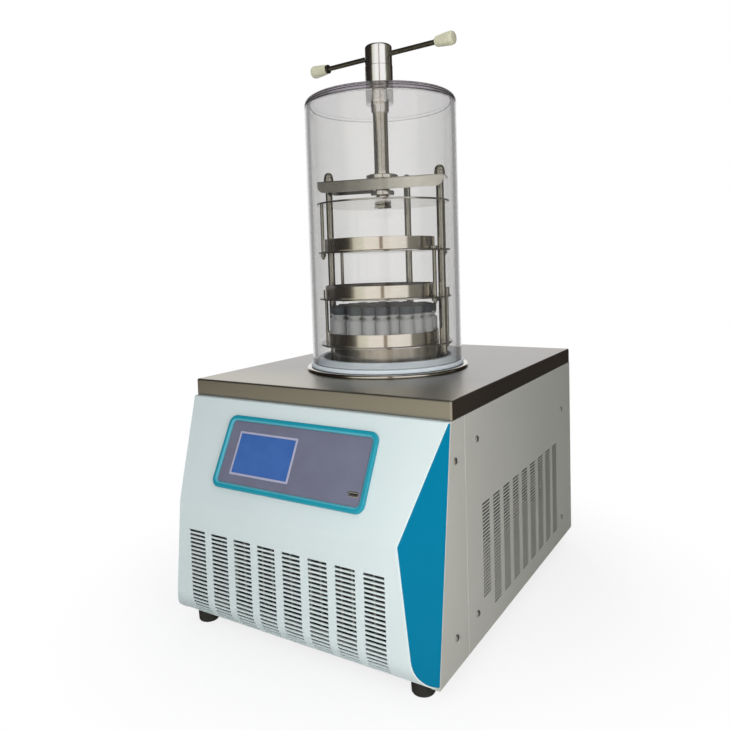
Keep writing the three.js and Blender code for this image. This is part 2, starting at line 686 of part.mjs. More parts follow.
// Handle on the lid: a fixed gland, and a turning head whose thread drives the spindle ---------------
function buildHandle(station) {
  const tail = BORE + 6.7; // outside of the head's threaded tail
  const tailFoot = HEAD_FOOT - HEAD_TAIL;
  const nose = BORE + GLAND_NOSE_WALL;
  const gland = turned([
    [BORE, TUBE_TOP - GLAND_NOSE],
    [nose, TUBE_TOP - GLAND_NOSE],
    [nose, LID_TOP + GAP],
    [GLAND_RADIUS, LID_TOP + GAP],
    [GLAND_RADIUS, GLAND_TOP],
    [tail + RUNNING, GLAND_TOP],
    [tail + RUNNING, tailFoot - 2],
    [BORE, tailFoot - 2],
  ]);
  piece(station, "gland_body", gland, polished);

  const headTop = HEAD_FOOT + HEAD_HEIGHT;
  const head = turned([
    [BORE, tailFoot],
    [tail, tailFoot],
    [tail, HEAD_FOOT],
    [HEAD_RADIUS, HEAD_FOOT],
    ...arc(HEAD_RADIUS - 5, headTop - 5, 5, 0, 90, 2),
    [0, headTop],
    [0, HEAD_FOOT + 1],
    [BORE, HEAD_FOOT + 1],
  ]);
  const handle = new THREE.Group();
  handle.rotation.z = degrees(HANDLE_TURN);
  station.add(handle);
  const barHeight = HEAD_FOOT + BAR_ABOVE_HEAD_SEAT;
  const lengthwise = (geometry) => alongX(geometry).translate(0, 0, barHeight);
  const barHole = lengthwise(rod(BAR_RADIUS + GAP, -2 * HEAD_RADIUS, 2 * HEAD_RADIUS, 16));
  piece(handle, "handle_head", cut(head, barHole), polished);
  piece(handle, "tommy_bar", lengthwise(rod(BAR_RADIUS, -BAR_REACH, BAR_REACH, 16)), darkSteel);

  const [inner, outer] = [BAR_REACH + 5 - GRIP_LENGTH, BAR_REACH + 5];
  const bore = BAR_RADIUS + GAP;
  const grip = (side) =>
    lengthwise(
      turned(
        [
          [bore, side * inner],
          [GRIP_RADIUS - 3, side * inner],
          [GRIP_RADIUS - 2, side * (inner + 3)],
          [GRIP_RADIUS, side * (outer - 5)],
          [GRIP_RADIUS - 3, side * outer],
          [0, side * outer],
          [0, side * (BAR_REACH + GAP)],
          [bore, side * (BAR_REACH + GAP)],
        ],
        16,
      ),
    );
  piece(handle, "grip_left", grip(-1), ivoryPlastic);
  piece(handle, "grip_right", grip(1), ivoryPlastic);
}

// Shelf rack, turned about the chamber's axis --------------------------------------------------------
const around = (radius, angle) => [
  radius * Math.cos(degrees(angle)),
  radius * Math.sin(degrees(angle)),
];
const COLUMNS = [
  ["column_left", 180],
  ["column_right", 0],
  ["column_rear", REAR_COLUMN_ANGLE],
];
const STAGE_RODS = [[20, 200], [-25, 155], [10, 190]]; // angles of each stage's two hanger rods
const ROD_OVERHANG = 5; // of a rod beyond its nut
const ROD_SEAT = [4.5, 12]; // height of a rod's head above shelf 1 and above shelf 2

// The shelf's disc with the holes for the columns and for the rods that pass through it.
function shelfDisc(bottom, passingRods, centreHole = 0) {
  const top = bottom + PLATE_THICKNESS;
  const holes = COLUMNS.map(([, angle]) =>
    rod(COLUMN_HOLE, bottom - 1, top + 1, 12).translate(...around(COLUMN_CIRCLE, angle), 0),
  );
  for (const angle of passingRods)
    holes.push(
      rod(ROD_RADIUS + 0.5, bottom - 1, top + 1, 8).translate(...around(ROD_CIRCLE, angle), 0),
    );
  if (centreHole) holes.push(rod(centreHole, bottom - 1, top + 1));
  return cut(rod(PLATE_RADIUS, bottom, top, 40), ...holes);
}

// Two hanger rods fixed in the plate above, each with the nut that the shelf below hangs on.
function hangerRods(angles, top, shelfBottom) {
  const nutTop = shelfBottom - GAP;
  const end = nutTop - ROD_NUT - ROD_OVERHANG;
  const profile = [
    [0, end],
    [ROD_RADIUS - 1, end],
    [ROD_RADIUS, end + 2],
    [ROD_RADIUS, nutTop - ROD_NUT],
    [5, nutTop - ROD_NUT],
    [5, nutTop],
    [ROD_RADIUS, nutTop],
    [ROD_RADIUS, top],
    [0, top],
  ];
  return angles.map((angle) => turned(profile, 8).translate(...around(ROD_CIRCLE, angle), 0));
}

function rodHeads(angles, seat, height) {
  return angles.map((angle) =>
    rod(5, seat - 0.5, seat + height, 8).translate(...around(ROD_CIRCLE, angle), 0),
  );
}

function column(angle) {
  const foot = GAP + SHEET + GAP + RACK_RING + GAP;
  const plate = BEAM_HEIGHT - BEAM_SHEET;
  const nut = BEAM_HEIGHT + GAP;
  const profile = [
    [0, foot],
    [COLUMN_RADIUS, foot],
    [COLUMN_RADIUS, plate - GAP],
    [4, plate - GAP],
    [4, nut],
    [8, nut],
    [8, nut + 9],
    ...arc(0, nut + 11, 7, 0, 90, 3),
  ];
  return turned(profile, 14).translate(...around(COLUMN_CIRCLE, angle), 0);
}

const RACK_RING = 4; // thickness of the ring that the rack stands on

function rackBase() {
  const bottom = GAP + SHEET + GAP;
  const inner = SKIRT_RADIUS - SHEET;
  return turned(
    [
      [inner, bottom],
      [TRAP_RADIUS + 6.5, bottom],
      [TRAP_RADIUS + 6.5, bottom + RACK_RING],
      [SKIRT_RADIUS, bottom + RACK_RING],
      [SKIRT_RADIUS, SHELF_3_HEIGHT - GAP],
      [inner, SHELF_3_HEIGHT - GAP],
    ],
    40,
  );
}

const GUIDE_RADIUS = BORE + 4;

function rackBeam() {
  const [length, width] = [BEAM_LENGTH / 2, BEAM_WIDTH / 2];
  const [under, top] = [BEAM_HEIGHT - BEAM_SHEET, BEAM_HEIGHT];
  const low = BEAM_HEIGHT - BEAM_DEPTH;
  const cross = block([-length, -width, under], [length, width, top]);
  const arm = block([-18, 0, under], [18, COLUMN_CIRCLE + 12, top]);
  arm.rotateZ(degrees(REAR_COLUMN_ANGLE - 90));
  // A fold with its lower corners rounded off, seen from the front.
  const fold = (x0, x1, y, corners) => {
    const shape = new THREE.Shape([new THREE.Vector2(x0, top), new THREE.Vector2(x0, low + corners[0])]);
    shape.absarc(x0 + corners[0], low + corners[0], corners[0], Math.PI, 1.5 * Math.PI);
    shape.absarc(x1 - corners[1], low + corners[1], corners[1], 1.5 * Math.PI, 2 * Math.PI);
    shape.lineTo(x1, top);
    const plate = new THREE.ExtrudeGeometry(shape, {
      depth: BEAM_SHEET,
      bevelEnabled: false,
      curveSegments: 3,
    });
    return plate.rotateX(Math.PI / 2).translate(0, y, 0);
  };
  const folds = [
    fold(-length, length, BEAM_SHEET - width, [12, 12]),
    fold(-length, -24, width, [12, 1]),
    fold(44, length, width, [1, 12]),
  ];
  const holes = COLUMNS.map(([, angle]) =>
    rod(4 + GAP, under - 1, top + 1, 12).translate(...around(COLUMN_CIRCLE, angle), 0),
  );
  return cut(join(cross, arm, ...folds), ...holes, rod(GUIDE_RADIUS + GAP, low, top + 1));
}

function tray(floor) {
  const [outer, inner] = [TRAY_RADIUS, TRAY_RADIUS - TRAY_WALL];
  return turned(
    [
      [0, floor],
      [outer, floor],
      [outer, floor + TRAY_HEIGHT],
      [inner, floor + TRAY_HEIGHT],
      [inner, floor + TRAY_WALL],
      [0, floor + TRAY_WALL],
    ],
    36,
  );
}

// Stoppered vials packed in rows, each touching its neighbours.
function vials(floor) {
  const vial = rod(VIAL_RADIUS, floor, floor + VIAL_HEIGHT, 12);
  const room = TRAY_RADIUS - TRAY_WALL - VIAL_RADIUS - 1;
  const pitch = 2 * VIAL_RADIUS - VIAL_NIP;
  const rowPitch = (pitch * Math.sqrt(3)) / 2;
  const placed = [];
  for (let row = -4; row <= 4; row++)
    for (let column = -5; column <= 5; column++) {
      const x = (column + (row % 2 ? 0.5 : 0)) * pitch;
      const y = row * rowPitch;
      if (Math.hypot(x, y) < room) placed.push(vial.clone().translate(x, y, 0));
    }
  return join(...placed);
}

const TRAY_PLACES = [[-1.5, -22], [-1.5, -22], [1, -21]]; // of each tray's middle on its shelf
const FOOT_FLANGE = 20; // radius of the spindle's pressing foot

function buildRack(station) {
  const rack = new THREE.Group();
  rack.rotation.z = degrees(RACK_TURN);
  station.add(rack);

  piece(rack, "rack_base", rackBase(), polished);
  for (const [name, angle] of COLUMNS) piece(rack, name, column(angle), polished);
  piece(rack, "rack_beam", rackBeam(), polished);

  const guideTop = BEAM_HEIGHT + GAP;
  const guide = turned([
    [BORE, BEAM_HEIGHT - 11],
    [GUIDE_RADIUS, BEAM_HEIGHT - 11],
    [GUIDE_RADIUS, guideTop],
    [27, guideTop],
    [27, guideTop + 7],
    [BORE, guideTop + 7],
  ]);
  piece(rack, "spindle_guide", guide, polished);

  const plateTop = PRESS_PLATE_HEIGHT + PLATE_THICKNESS;
  const neck = 8;
  const nutTop = PRESS_PLATE_HEIGHT - GAP;
  const spindle = turned([
    [0, nutTop - 6.5],
    [neck, nutTop - 6.5],
    [neck, plateTop + GAP],
    [15, plateTop + GAP],
    [15, plateTop + 5],
    [11, plateTop + 7],
    [11, plateTop + 11],
    [FOOT_FLANGE, plateTop + 13],
    [FOOT_FLANGE, plateTop + 20],
    [SPINDLE_RADIUS, plateTop + 22],
    [SPINDLE_RADIUS, HEAD_FOOT - 2],
    [0, HEAD_FOOT - 2],
  ]);
  piece(rack, "press_spindle", spindle, polished);
  piece(rack, "press_plate_nut", ring(neck + GAP, 15, nutTop - 6, nutTop, 24), polished);

  const pressPlate = join(
    shelfDisc(PRESS_PLATE_HEIGHT, [], neck + GAP),
    ...hangerRods(STAGE_RODS[0], plateTop - 0.5, SHELF_1_HEIGHT),
  );
  piece(rack, "press_plate", pressPlate, polished);
  const shelf1 = join(
    shelfDisc(SHELF_1_HEIGHT, STAGE_RODS[0]),
    ...rodHeads(STAGE_RODS[1], SHELF_1_HEIGHT + PLATE_THICKNESS, ROD_SEAT[0]),
    ...hangerRods(STAGE_RODS[1], SHELF_1_HEIGHT + 0.5, SHELF_2_HEIGHT),
  );
  piece(rack, "shelf_1", shelf1, polished);
  const shelf2 = join(
    shelfDisc(SHELF_2_HEIGHT, STAGE_RODS[1]),
    ...rodHeads(STAGE_RODS[2], SHELF_2_HEIGHT + PLATE_THICKNESS, ROD_SEAT[1]),
    ...hangerRods(STAGE_RODS[2], SHELF_2_HEIGHT + 0.5, SHELF_3_HEIGHT),
  );
  piece(rack, "shelf_2", shelf2, polished);
  piece(rack, "shelf_3", shelfDisc(SHELF_3_HEIGHT, STAGE_RODS[2]), polished);

  const bottoms = [SHELF_1_HEIGHT, SHELF_2_HEIGHT, SHELF_3_HEIGHT];
  bottoms.forEach((bottom, i) => {
    const floor = bottom + PLATE_THICKNESS + GAP;
    piece(rack, "tray_" + (i + 1), tray(floor).translate(...TRAY_PLACES[i], 0), polished);
  });
  const vialFloor = SHELF_3_HEIGHT + PLATE_THICKNESS + GAP + TRAY_WALL + GAP;
  piece(rack, "vials", vials(vialFloor).translate(...TRAY_PLACES[2], 0), vialGlass);
}

// Refrigeration behind the front panel and at the rear ------------------------------------------------
const CONDENSER_REAR = Math.max(-8, PAN_FRONT + SHEET + GAP + CONDENSER_DEPTH);
const SHROUD_Y = CONDENSER_REAR + GAP;
const FAN_Z = PAN_FLOOR + GAP + CONDENSER_HEIGHT / 2;
const FAN_RADIUS = CONDENSER_HEIGHT / 2 - FAN_MARGIN;
const STRAP_Y = 26;
const SHAFT_RADIUS = 4;

function condenser() {
  const [w, z0] = [CONDENSER_WIDTH / 2, PAN_FLOOR + GAP];
  const front = CONDENSER_REAR - CONDENSER_DEPTH;
  const fins = 16;
  const pitch = (CONDENSER_WIDTH - 20) / fins;
  const gaps = Array.from({ length: fins }, (_, i) => {
    const x = 10 - w + (i + 0.5) * pitch;
    const [low, high] = [z0 + 8, z0 + CONDENSER_HEIGHT - 8];
    return block([x - 0.4 * pitch, front - 1, low], [x + 0.4 * pitch, CONDENSER_REAR - 12, high]);
  });
  const core = block([-w, front, z0], [w, CONDENSER_REAR, z0 + CONDENSER_HEIGHT]);
  return cut(core, cutters(gaps));
}

function fanShroud() {
  const [w, h] = [CONDENSER_WIDTH / 2, CONDENSER_HEIGHT / 2];
  const reach = FAN_RADIUS + 8;
  const plate = block([-w, SHROUD_Y, FAN_Z - h], [w, SHROUD_Y + 2, FAN_Z + h]);
  const mouth = alongY(rod(FAN_RADIUS + 4, -10, 10, 24)).translate(0, SHROUD_Y, FAN_Z);
  const strap = block([-15, STRAP_Y, FAN_Z - reach], [15, STRAP_Y + 3, FAN_Z + reach]);
  const arms = [-1, 1].map((end) => {
    const z = FAN_Z + end * (reach - 1.5);
    return block([-15, SHROUD_Y, z - 1.5], [15, STRAP_Y + 3, z + 1.5]);
  });
  const shaftHole = alongY(rod(SHAFT_RADIUS + 2, 0, 10)).translate(0, STRAP_Y - 3, FAN_Z);
  return cut(join(cut(plate, mouth), strap, ...arms), shaftHole);
}

function fanMotor() {
  const [front, rear] = [STRAP_Y + 3 + GAP, STRAP_Y + 43];
  const motor = turned(
    [
      [0, SHROUD_Y + 4],
      [SHAFT_RADIUS, SHROUD_Y + 4],
      [SHAFT_RADIUS, front],
      [27, front],
      [29, front + 2],
      [29, rear - 3],
      [25, rear],
      [0, rear],
    ],
    16,
  );
  return alongY(motor).translate(0, 0, FAN_Z);
}

function fanRotor() {
  const hub = alongY(ring(SHAFT_RADIUS + GAP, 22, SHROUD_Y + 4, SHROUD_Y + 22, 16));
  const blades = Array.from({ length: 5 }, (_, i) => {
    const blade = new THREE.BoxGeometry(38, 2, FAN_RADIUS - 20);
    blade.rotateZ(degrees(25)).translate(0, SHROUD_Y + 13, 19 + (FAN_RADIUS - 19) / 2);
    return blade.rotateY((2 * Math.PI * i) / 5);
  });
  return join(hub, ...blades).translate(0, 0, FAN_Z);
}

function compressor() {
  const [r, z0] = [COMPRESSOR_RADIUS, PAN_FLOOR + GAP];
  const top = z0 + COMPRESSOR_HEIGHT;
  const can = turned(
    [
      [0, z0 + 14],
      [r - 14, z0 + 14],
      [r, z0 + 30],
      [r, top - 44],
      [r - 3, top - 26],
      [r - 20, top - 8],
      [0, top],
    ],
    20,
  );
  const plate = block([-r, -r + 8, z0 + 10], [r, r - 8, z0 + 16]);
  const mounts = [-1, 1].flatMap((x) =>
    [-1, 1].map((y) => rod(9, z0, z0 + 12, 8).translate(x * (r - 12), y * (r - 20), 0)),
  );
  const box = block([r - 4, -22, z0 + 70], [r + 18, 22, z0 + 120]);
  return join(can, plate, ...mounts, box).translate(55, DECK_DEPTH - 90, 0);
}

function buildRefrigeration() {
  piece(machine, "condenser", condenser(), aluminium);
  piece(machine, "fan_shroud", fanShroud(), blackPlastic);
  piece(machine, "fan_motor", fanMotor(), darkSteel);
  piece(machine, "fan_rotor", fanRotor(), aluminium);
  piece(machine, "compressor", compressor(), blackPlastic);
}

// Rear panel and what passes through it -------------------------------------------------------------
const REAR_INSIDE = DECK_DEPTH - SHEET;
const VENT_VALVE = [-150, DECK_TOP - 110];
const DRAIN_VALVE = [-150, BODY_BOTTOM + 58];
const INLET = [150, BODY_BOTTOM + 58];
const SWITCH = [150, BODY_BOTTOM + 113];
const INLET_SIZE = [30, 22];
const SWITCH_SIZE = [27, 19];
const NIPPLE_RADIUS = 7;
const STEM_RADIUS = 3;
const COLLAR_LENGTH = 16;
const REAR_SLOT_ROWS = 9;
const REAR_SLOT_PITCH = 14;
const REAR_SLOT_LENGTH = 80;
const REAR_SLOT_TOP = DECK_TOP - 175;

const behindAt = ([x, z], geometry) => geometry.translate(x, 0, z);
const throughRear = (radius) => alongY(rod(radius, REAR_INSIDE - 2, DECK_DEPTH + 2, 16));

function rearPanel() {
  const plate = block([-HALF_WIDTH, REAR_INSIDE, BODY_BOTTOM], [HALF_WIDTH, DECK_DEPTH, PANEL_TOP]);
  const window = ([w, h]) =>
    block([-w / 2 - GAP, REAR_INSIDE - 2, -h / 2 - GAP], [w / 2 + GAP, DECK_DEPTH + 2, h / 2 + GAP]);
  const slots = [];
  for (let row = 0; row < REAR_SLOT_ROWS; row++) {
    const z = REAR_SLOT_TOP - row * REAR_SLOT_PITCH;
    for (const x of [-REAR_SLOT_LENGTH - 10, 10])
      slots.push(block([x, REAR_INSIDE - 2, z - 5], [x + REAR_SLOT_LENGTH, DECK_DEPTH + 2, z]));
  }
  return cut(
    plate,
    cutters(slots),
    behindAt([0, DECK_TOP - VACUUM_PIPE_DROP], throughRear(VACUUM_PIPE_RADIUS + GAP)),
    behindAt(VENT_VALVE, throughRear(NIPPLE_RADIUS + GAP)),
    behindAt(DRAIN_VALVE, throughRear(NIPPLE_RADIUS + GAP)),
    behindAt(INLET, window(INLET_SIZE)),
    behindAt(SWITCH, window(SWITCH_SIZE)),
  );
}

// A valve body that passes through the panel, with its collar seated on the outside.
function valveBody(outletRadius, collar, end) {
  const seat = DECK_DEPTH + GAP;
  return alongY(
    turned(
      [
        [0, REAR_INSIDE - 22],
        [NIPPLE_RADIUS, REAR_INSIDE - 22],
        [NIPPLE_RADIUS, seat],
        [collar, seat],
        [collar, seat + COLLAR_LENGTH],
        [outletRadius, seat + COLLAR_LENGTH],
        [outletRadius, end],
        [0, end],
      ],
      16,
    ),
  );
}

function buildRear() {
  piece(machine, "rear_panel", rearPanel(), greySteel);

  const rear = DECK_DEPTH + REAR_REACH;
  piece(
    machine,
    "vent_valve",
    behindAt(VENT_VALVE, valveBody(STEM_RADIUS, 11, rear - 3)),
    aluminium,
  );
  const knobSeat = DECK_DEPTH + GAP + COLLAR_LENGTH + GAP;
  const knob = turned(
    [
      [STEM_RADIUS + GAP, knobSeat],
      [12, knobSeat],
      [13, knobSeat + 2],
      [13, rear - 2],
      [11.5, rear],
      [0, rear],
      [0, rear - 3 + GAP],
      [STEM_RADIUS + GAP, rear - 3 + GAP],
    ],
    16,
  );
  piece(machine, "vent_knob", behindAt(VENT_VALVE, alongY(knob)), blackPlastic);

  const stemY = DECK_DEPTH + GAP + COLLAR_LENGTH - 7.5;
  const drain = join(
    valveBody(5, 10, rear - 4),
    rod(STEM_RADIUS, 0, 18, 12).translate(0, stemY, 0),
  );
  piece(machine, "drain_valve", behindAt(DRAIN_VALVE, drain), aluminium);
  const lever = cut(
    join(rod(7, 10 + GAP, 16, 16), block([-40, -4, 12], [0, 4, 15])),
    rod(STEM_RADIUS + GAP, 5, 20, 12),
  ).translate(0, stemY, 0);
  piece(machine, "drain_lever", behindAt(DRAIN_VALVE, lever), blackPlastic);

  const fitted = ([w, h], rim) => {
    const seat = DECK_DEPTH + GAP;
    return join(
      block([-w / 2, REAR_INSIDE - 24, -h / 2], [w / 2, seat + 1, h / 2]),
      block([-w / 2 - rim, seat, -h / 2 - rim], [w / 2 + rim, seat + 2.5, h / 2 + rim]),
    );
  };
  const socket = block([-12, REAR_INSIDE - 16, -8], [12, DECK_DEPTH + 5, 8]);
  const pins = [[-7, -2], [0, 3], [7, -2]].map(([x, z]) =>
    block([x - 1, REAR_INSIDE - 17, z - 2.5], [x + 1, REAR_INSIDE - 2, z + 2.5]),
  );
  const inlet = join(cut(fitted(INLET_SIZE, 5), socket), ...pins);
  piece(machine, "power_inlet", behindAt(INLET, inlet), blackPlastic);

  const rocker = [21, 13];
  const recess = block(
    [-rocker[0] / 2 - 2 * GAP, REAR_INSIDE - 8, -rocker[1] / 2 - 2 * GAP],
    [rocker[0] / 2 + 2 * GAP, DECK_DEPTH + 5, rocker[1] / 2 + 2 * GAP],
  );
  piece(machine, "switch_housing", behindAt(SWITCH, cut(fitted(SWITCH_SIZE, 3), recess)), blackPlastic);
  piece(machine, "switch_rocker", behindAt(SWITCH, switchRocker(rocker)), blackPlastic);
}

// The rocker stands in its "off" state, tipped about a pivot that lies along its short side.
const ROCKER_TIP = 8; // degrees either side of level
const ROCKER_PIVOT_Y = DECK_DEPTH - 1;

function switchRocker([length, width]) {
  const half = length / 2;
  const outline = [
    [-half + 1, -2],
    [half - 1, -2],
    [half - 0.4, 4.6],
    [0, 2.4],
    [-half + 0.4, 4.6],
  ];
  const shape = new THREE.Shape(outline.map(([x, y]) => new THREE.Vector2(x, y)));
  const body = new THREE.ExtrudeGeometry(shape, { depth: width, bevelEnabled: false });
  body.translate(0, 0, -width / 2).rotateZ(degrees(ROCKER_TIP));
  return body.translate(0, ROCKER_PIVOT_Y, 0);
}

// Assembly ------------------------------------------------------------------------------------------
buildCabinet();
buildDisplay();
const station = new THREE.Group();
station.position.set(0, CHAMBER_Y, DECK_TOP);
machine.add(station);
buildTrap(station);
buildChamber(station);
buildHandle(station);
buildRack(station);
buildRefrigeration();
buildRear();

const part = new THREE.Group();
part.add(machine);
export default part;
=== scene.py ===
import math

import bmesh
import bpy
from mathutils import Matrix, Vector


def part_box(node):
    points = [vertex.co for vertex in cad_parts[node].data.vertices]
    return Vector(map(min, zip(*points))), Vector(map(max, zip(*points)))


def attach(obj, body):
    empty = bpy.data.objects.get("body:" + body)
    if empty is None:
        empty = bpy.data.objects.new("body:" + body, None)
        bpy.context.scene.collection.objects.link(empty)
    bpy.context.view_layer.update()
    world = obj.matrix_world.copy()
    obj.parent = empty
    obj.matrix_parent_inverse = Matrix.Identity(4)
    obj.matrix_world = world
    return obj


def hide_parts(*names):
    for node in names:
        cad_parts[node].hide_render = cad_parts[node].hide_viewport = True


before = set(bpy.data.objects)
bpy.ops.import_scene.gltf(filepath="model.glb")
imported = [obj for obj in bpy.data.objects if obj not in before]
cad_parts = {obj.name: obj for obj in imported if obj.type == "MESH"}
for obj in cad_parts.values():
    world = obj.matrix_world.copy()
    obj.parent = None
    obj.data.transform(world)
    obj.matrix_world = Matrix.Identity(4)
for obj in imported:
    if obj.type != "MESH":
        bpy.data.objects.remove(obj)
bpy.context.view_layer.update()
MM = 0.001


# ---------------------------------------------------------------------------------------------
# Studio: a pale floor that fades into a white surround, soft lamps, and a room of white and dark
# walls that only metal and clear plastic see. None of it belongs to the machine.
EYE = Vector((0.588, -1.0211, 0.5545))
HEADING, TILT, ROLL = math.radians(32.04), math.radians(3.70), math.radians(-1.79)
ahead = Vector(
    (
        -math.sin(HEADING) * math.cos(TILT),
        math.cos(HEADING) * math.cos(TILT),
        -math.sin(TILT),
    )
)
level = Vector((math.cos(HEADING), math.sin(HEADING), 0))
above = level.cross(ahead)
right = math.cos(ROLL) * level + math.sin(ROLL) * above
up = math.cos(ROLL) * above - math.sin(ROLL) * level
lens = bpy.data.cameras.new("camera")
lens.lens = 33.62
lens.sensor_width = 36
lens.shift_y = -0.0801
lens.clip_start = 0.05
camera = bpy.data.objects.new("camera", lens)
camera.matrix_world = Matrix.Translation(EYE) @ Matrix((right, up, -ahead)).transposed().to_4x4()
bpy.context.scene.collection.objects.link(camera)
bpy.context.scene.camera = camera
bpy.context.scene.view_settings.view_transform = "Standard"


def feed(tree, node, given):
    """Gives a node's sockets their values or links; a node stands for its first output."""
    for name, value in given.items():
        if isinstance(value, bpy.types.Node):
            value = value.outputs[0]
        if isinstance(value, bpy.types.NodeSocket):
            tree.links.new(value, node.inputs[name])
        else:
            node.inputs[name].default_value = value


def added(tree, kind, given=None, **settings):
    """A new node of a tree, with its settings and what its sockets are given."""
    node = tree.nodes.new(kind)
    for name, value in settings.items():
        setattr(node, name, value)
    feed(tree, node, given or {})
    return node


def reckoned(tree, operation, *values):
    return added(tree, "ShaderNodeMath", dict(enumerate(values)), operation=operation)


def ramp(tree, along, stops):
    """Colours that follow one another along a value."""
    node = added(tree, "ShaderNodeValToRGB", {"Fac": along})
    while len(node.color_ramp.elements) < len(stops):
        node.color_ramp.elements.new(1)
    for stop, (place, colour) in zip(node.color_ramp.elements, stops):
        stop.position = place
        stop.color = (*colour, 1)
    return node


# What metal and clear plastic see, by the angle round the machine from the viewer's side: white
# in front and behind, dark walls to the left and right, with the window frames of a room.
ROOM = (
    (-180, (1, 1, 1)),
    (-157, (1, 1, 1)),
    (-149, (0.030, 0.022, 0.017)),
    (-104, (0.014, 0.010, 0.007)),
    (-78, (0.020, 0.015, 0.010)),
    (-64, (0.045, 0.036, 0.025)),
    (-58, (0.26, 0.24, 0.18)),
    (-53, (0.72, 0.70, 0.60)),
    (-34, (0.86, 0.85, 0.76)),
    (-30, (1, 0.96, 0.91)),
    (-3, (1, 0.95, 0.90)),
    (0, (0.26, 0.19, 0.13)),
    (4, (0.26, 0.19, 0.13)),
    (7, (1, 0.96, 0.92)),
    (52, (1, 0.97, 0.93)),
    (58, (0.20, 0.19, 0.14)),
    (84, (0.11, 0.105, 0.075)),
    (92, (0.018, 0.015, 0.010)),
    (102, (0.20, 0.18, 0.14)),
    (109, (0.018, 0.014, 0.010)),
    (149, (0.030, 0.017, 0.012)),
    (157, (1, 1, 1)),
    (180, (1, 1, 1)),
)
VIEWER_TURN = 58
CARPET_MIDDLE, CARPET_SPREAD = 0.5 - 10 / 360, 80 / 360
surround = bpy.data.worlds.new("surround")
bpy.context.scene.world = surround
surround.use_nodes = True
sky = surround.node_tree
sky.nodes.clear()
way = added(sky, "ShaderNodeTexCoord").outputs["Generated"]
facing = added(
    sky,
    "ShaderNodeVectorRotate",
    {"Vector": way, "Angle": math.radians(VIEWER_TURN)},
    rotation_type="Z_AXIS",
)
angle = added(sky, "ShaderNodeTexGradient", {"Vector": facing}, gradient_type="RADIAL")
angle = angle.outputs["Fac"]
room = ramp(sky, angle, [(degrees / 360 + 0.5, colour) for degrees, colour in ROOM])
height = added(sky, "ShaderNodeSeparateXYZ", {0: way}).outputs["Z"]
ceiling = added(
    sky,
    "ShaderNodeMapRange",
    {"Value": height, "From Min": 0.5, "From Max": 0.75, "To Min": 1.0, "To Max": 0.55},
    interpolation_type="SMOOTHSTEP",
)
carpet = added(
    sky, "ShaderNodeMapRange", {"Value": height, "From Min": -0.172, "From Max": -0.213}
)
in_front = reckoned(sky, "COMPARE", angle, CARPET_MIDDLE, CARPET_SPREAD)
spread_out = reckoned(sky, "MULTIPLY", carpet, in_front)
lower = added(
    sky, "ShaderNodeMix", {0: spread_out, 6: room, 7: (1, 0.93, 0.76, 1)}, data_type="RGBA"
)
walls = added(sky, "ShaderNodeBackground", {"Color": lower.outputs[2], "Strength": ceiling})
white = added(sky, "ShaderNodeBackground", {"Color": (1, 1, 1, 1)})

# The eye sees white, also through clear plastic, and a grey mean of white and walls where light
# turns back once inside the plastic. Matt surfaces are lit by one even, pale blue-white sky.
path = added(sky, "ShaderNodeLightPath").outputs
straight = reckoned(sky, "LESS_THAN", path["Glossy Depth"])
edge = reckoned(sky, "COMPARE", path["Transmission Depth"], 2, 0.5)
clear = reckoned(sky, "MAXIMUM", straight, reckoned(sky, "MULTIPLY", edge, 0.5))
backdrop = added(sky, "ShaderNodeMixShader", {0: clear, 1: walls, 2: white})
lit = added(sky, "ShaderNodeBackground", {"Color": (0.93, 0.97, 1.0, 1), "Strength": 0.285})
either = added(sky, "ShaderNodeMixShader", {0: path["Diffuse Depth"], 1: backdrop, 2: lit})
feed(sky, sky.nodes.new("ShaderNodeOutputWorld"), {0: either})

FLOOR_REACH = 12.0


def floor_finish():
    """White paper that keeps the machine's shadow and turns plain white away from it."""
    finish = bpy.data.materials.new("studio_floor")
    finish.use_nodes = True
    tree = finish.node_tree
    tree.nodes.clear()
    spot = added(tree, "ShaderNodeTexCoord").outputs["Object"]
    far = added(tree, "ShaderNodeVectorMath", {0: spot}, operation="LENGTH").outputs["Value"]
    fade = added(
        tree,
        "ShaderNodeMapRange",
        {"Value": far, "From Min": 0.26, "From Max": 0.62, "To Min": 0.78},
        interpolation_type="SMOOTHSTEP",
    )
    path = added(tree, "ShaderNodeLightPath").outputs
    seen = reckoned(tree, "MAXIMUM", path["Is Camera Ray"], path["Is Glossy Ray"])
    seen = reckoned(tree, "MAXIMUM", seen, path["Is Transmission Ray"])
    paper = added(tree, "ShaderNodeBsdfDiffuse", {"Color": (0.93, 0.93, 0.93, 1)})
    glow = added(tree, "ShaderNodeEmission")
    share = reckoned(tree, "MULTIPLY", fade, seen)
    both = added(tree, "ShaderNodeMixShader", {0: share, 1: paper, 2: glow})
    feed(tree, tree.nodes.new("ShaderNodeOutputMaterial"), {0: both})
    return finish


floor_mesh = bpy.data.meshes.new("studio_floor")
floor_mesh.from_pydata(
    [(x * FLOOR_REACH, y * FLOOR_REACH, 0) for x, y in ((-1, -1), (1, -1), (1, 1), (-1, 1))],
    [],
    [(0, 1, 2, 3)],
)
floor_mesh.materials.append(floor_finish())
studio_floor = bpy.data.objects.new("studio_floor", floor_mesh)
bpy.context.scene.collection.objects.link(studio_floor)
studio_floor.visible_glossy = False
studio_floor.visible_transmission = False


def lamp(name, place, aim, size, power, colour=(1, 1, 1)):
    light = bpy.data.lights.new(name, "AREA")
    light.shape = "DISK"
    light.size = size
    light.energy = power
    light.color = colour
    holder = bpy.data.objects.new(name, light)
    direction = Vector(aim) - Vector(place)
    holder.matrix_world = (
        Matrix.Translation(place) @ direction.to_track_quat("-Z", "Y").to_matrix().to_4x4()
    )
    holder.visible_glossy = False
    holder.visible_transmission = False
    bpy.context.scene.collection.objects.link(holder)


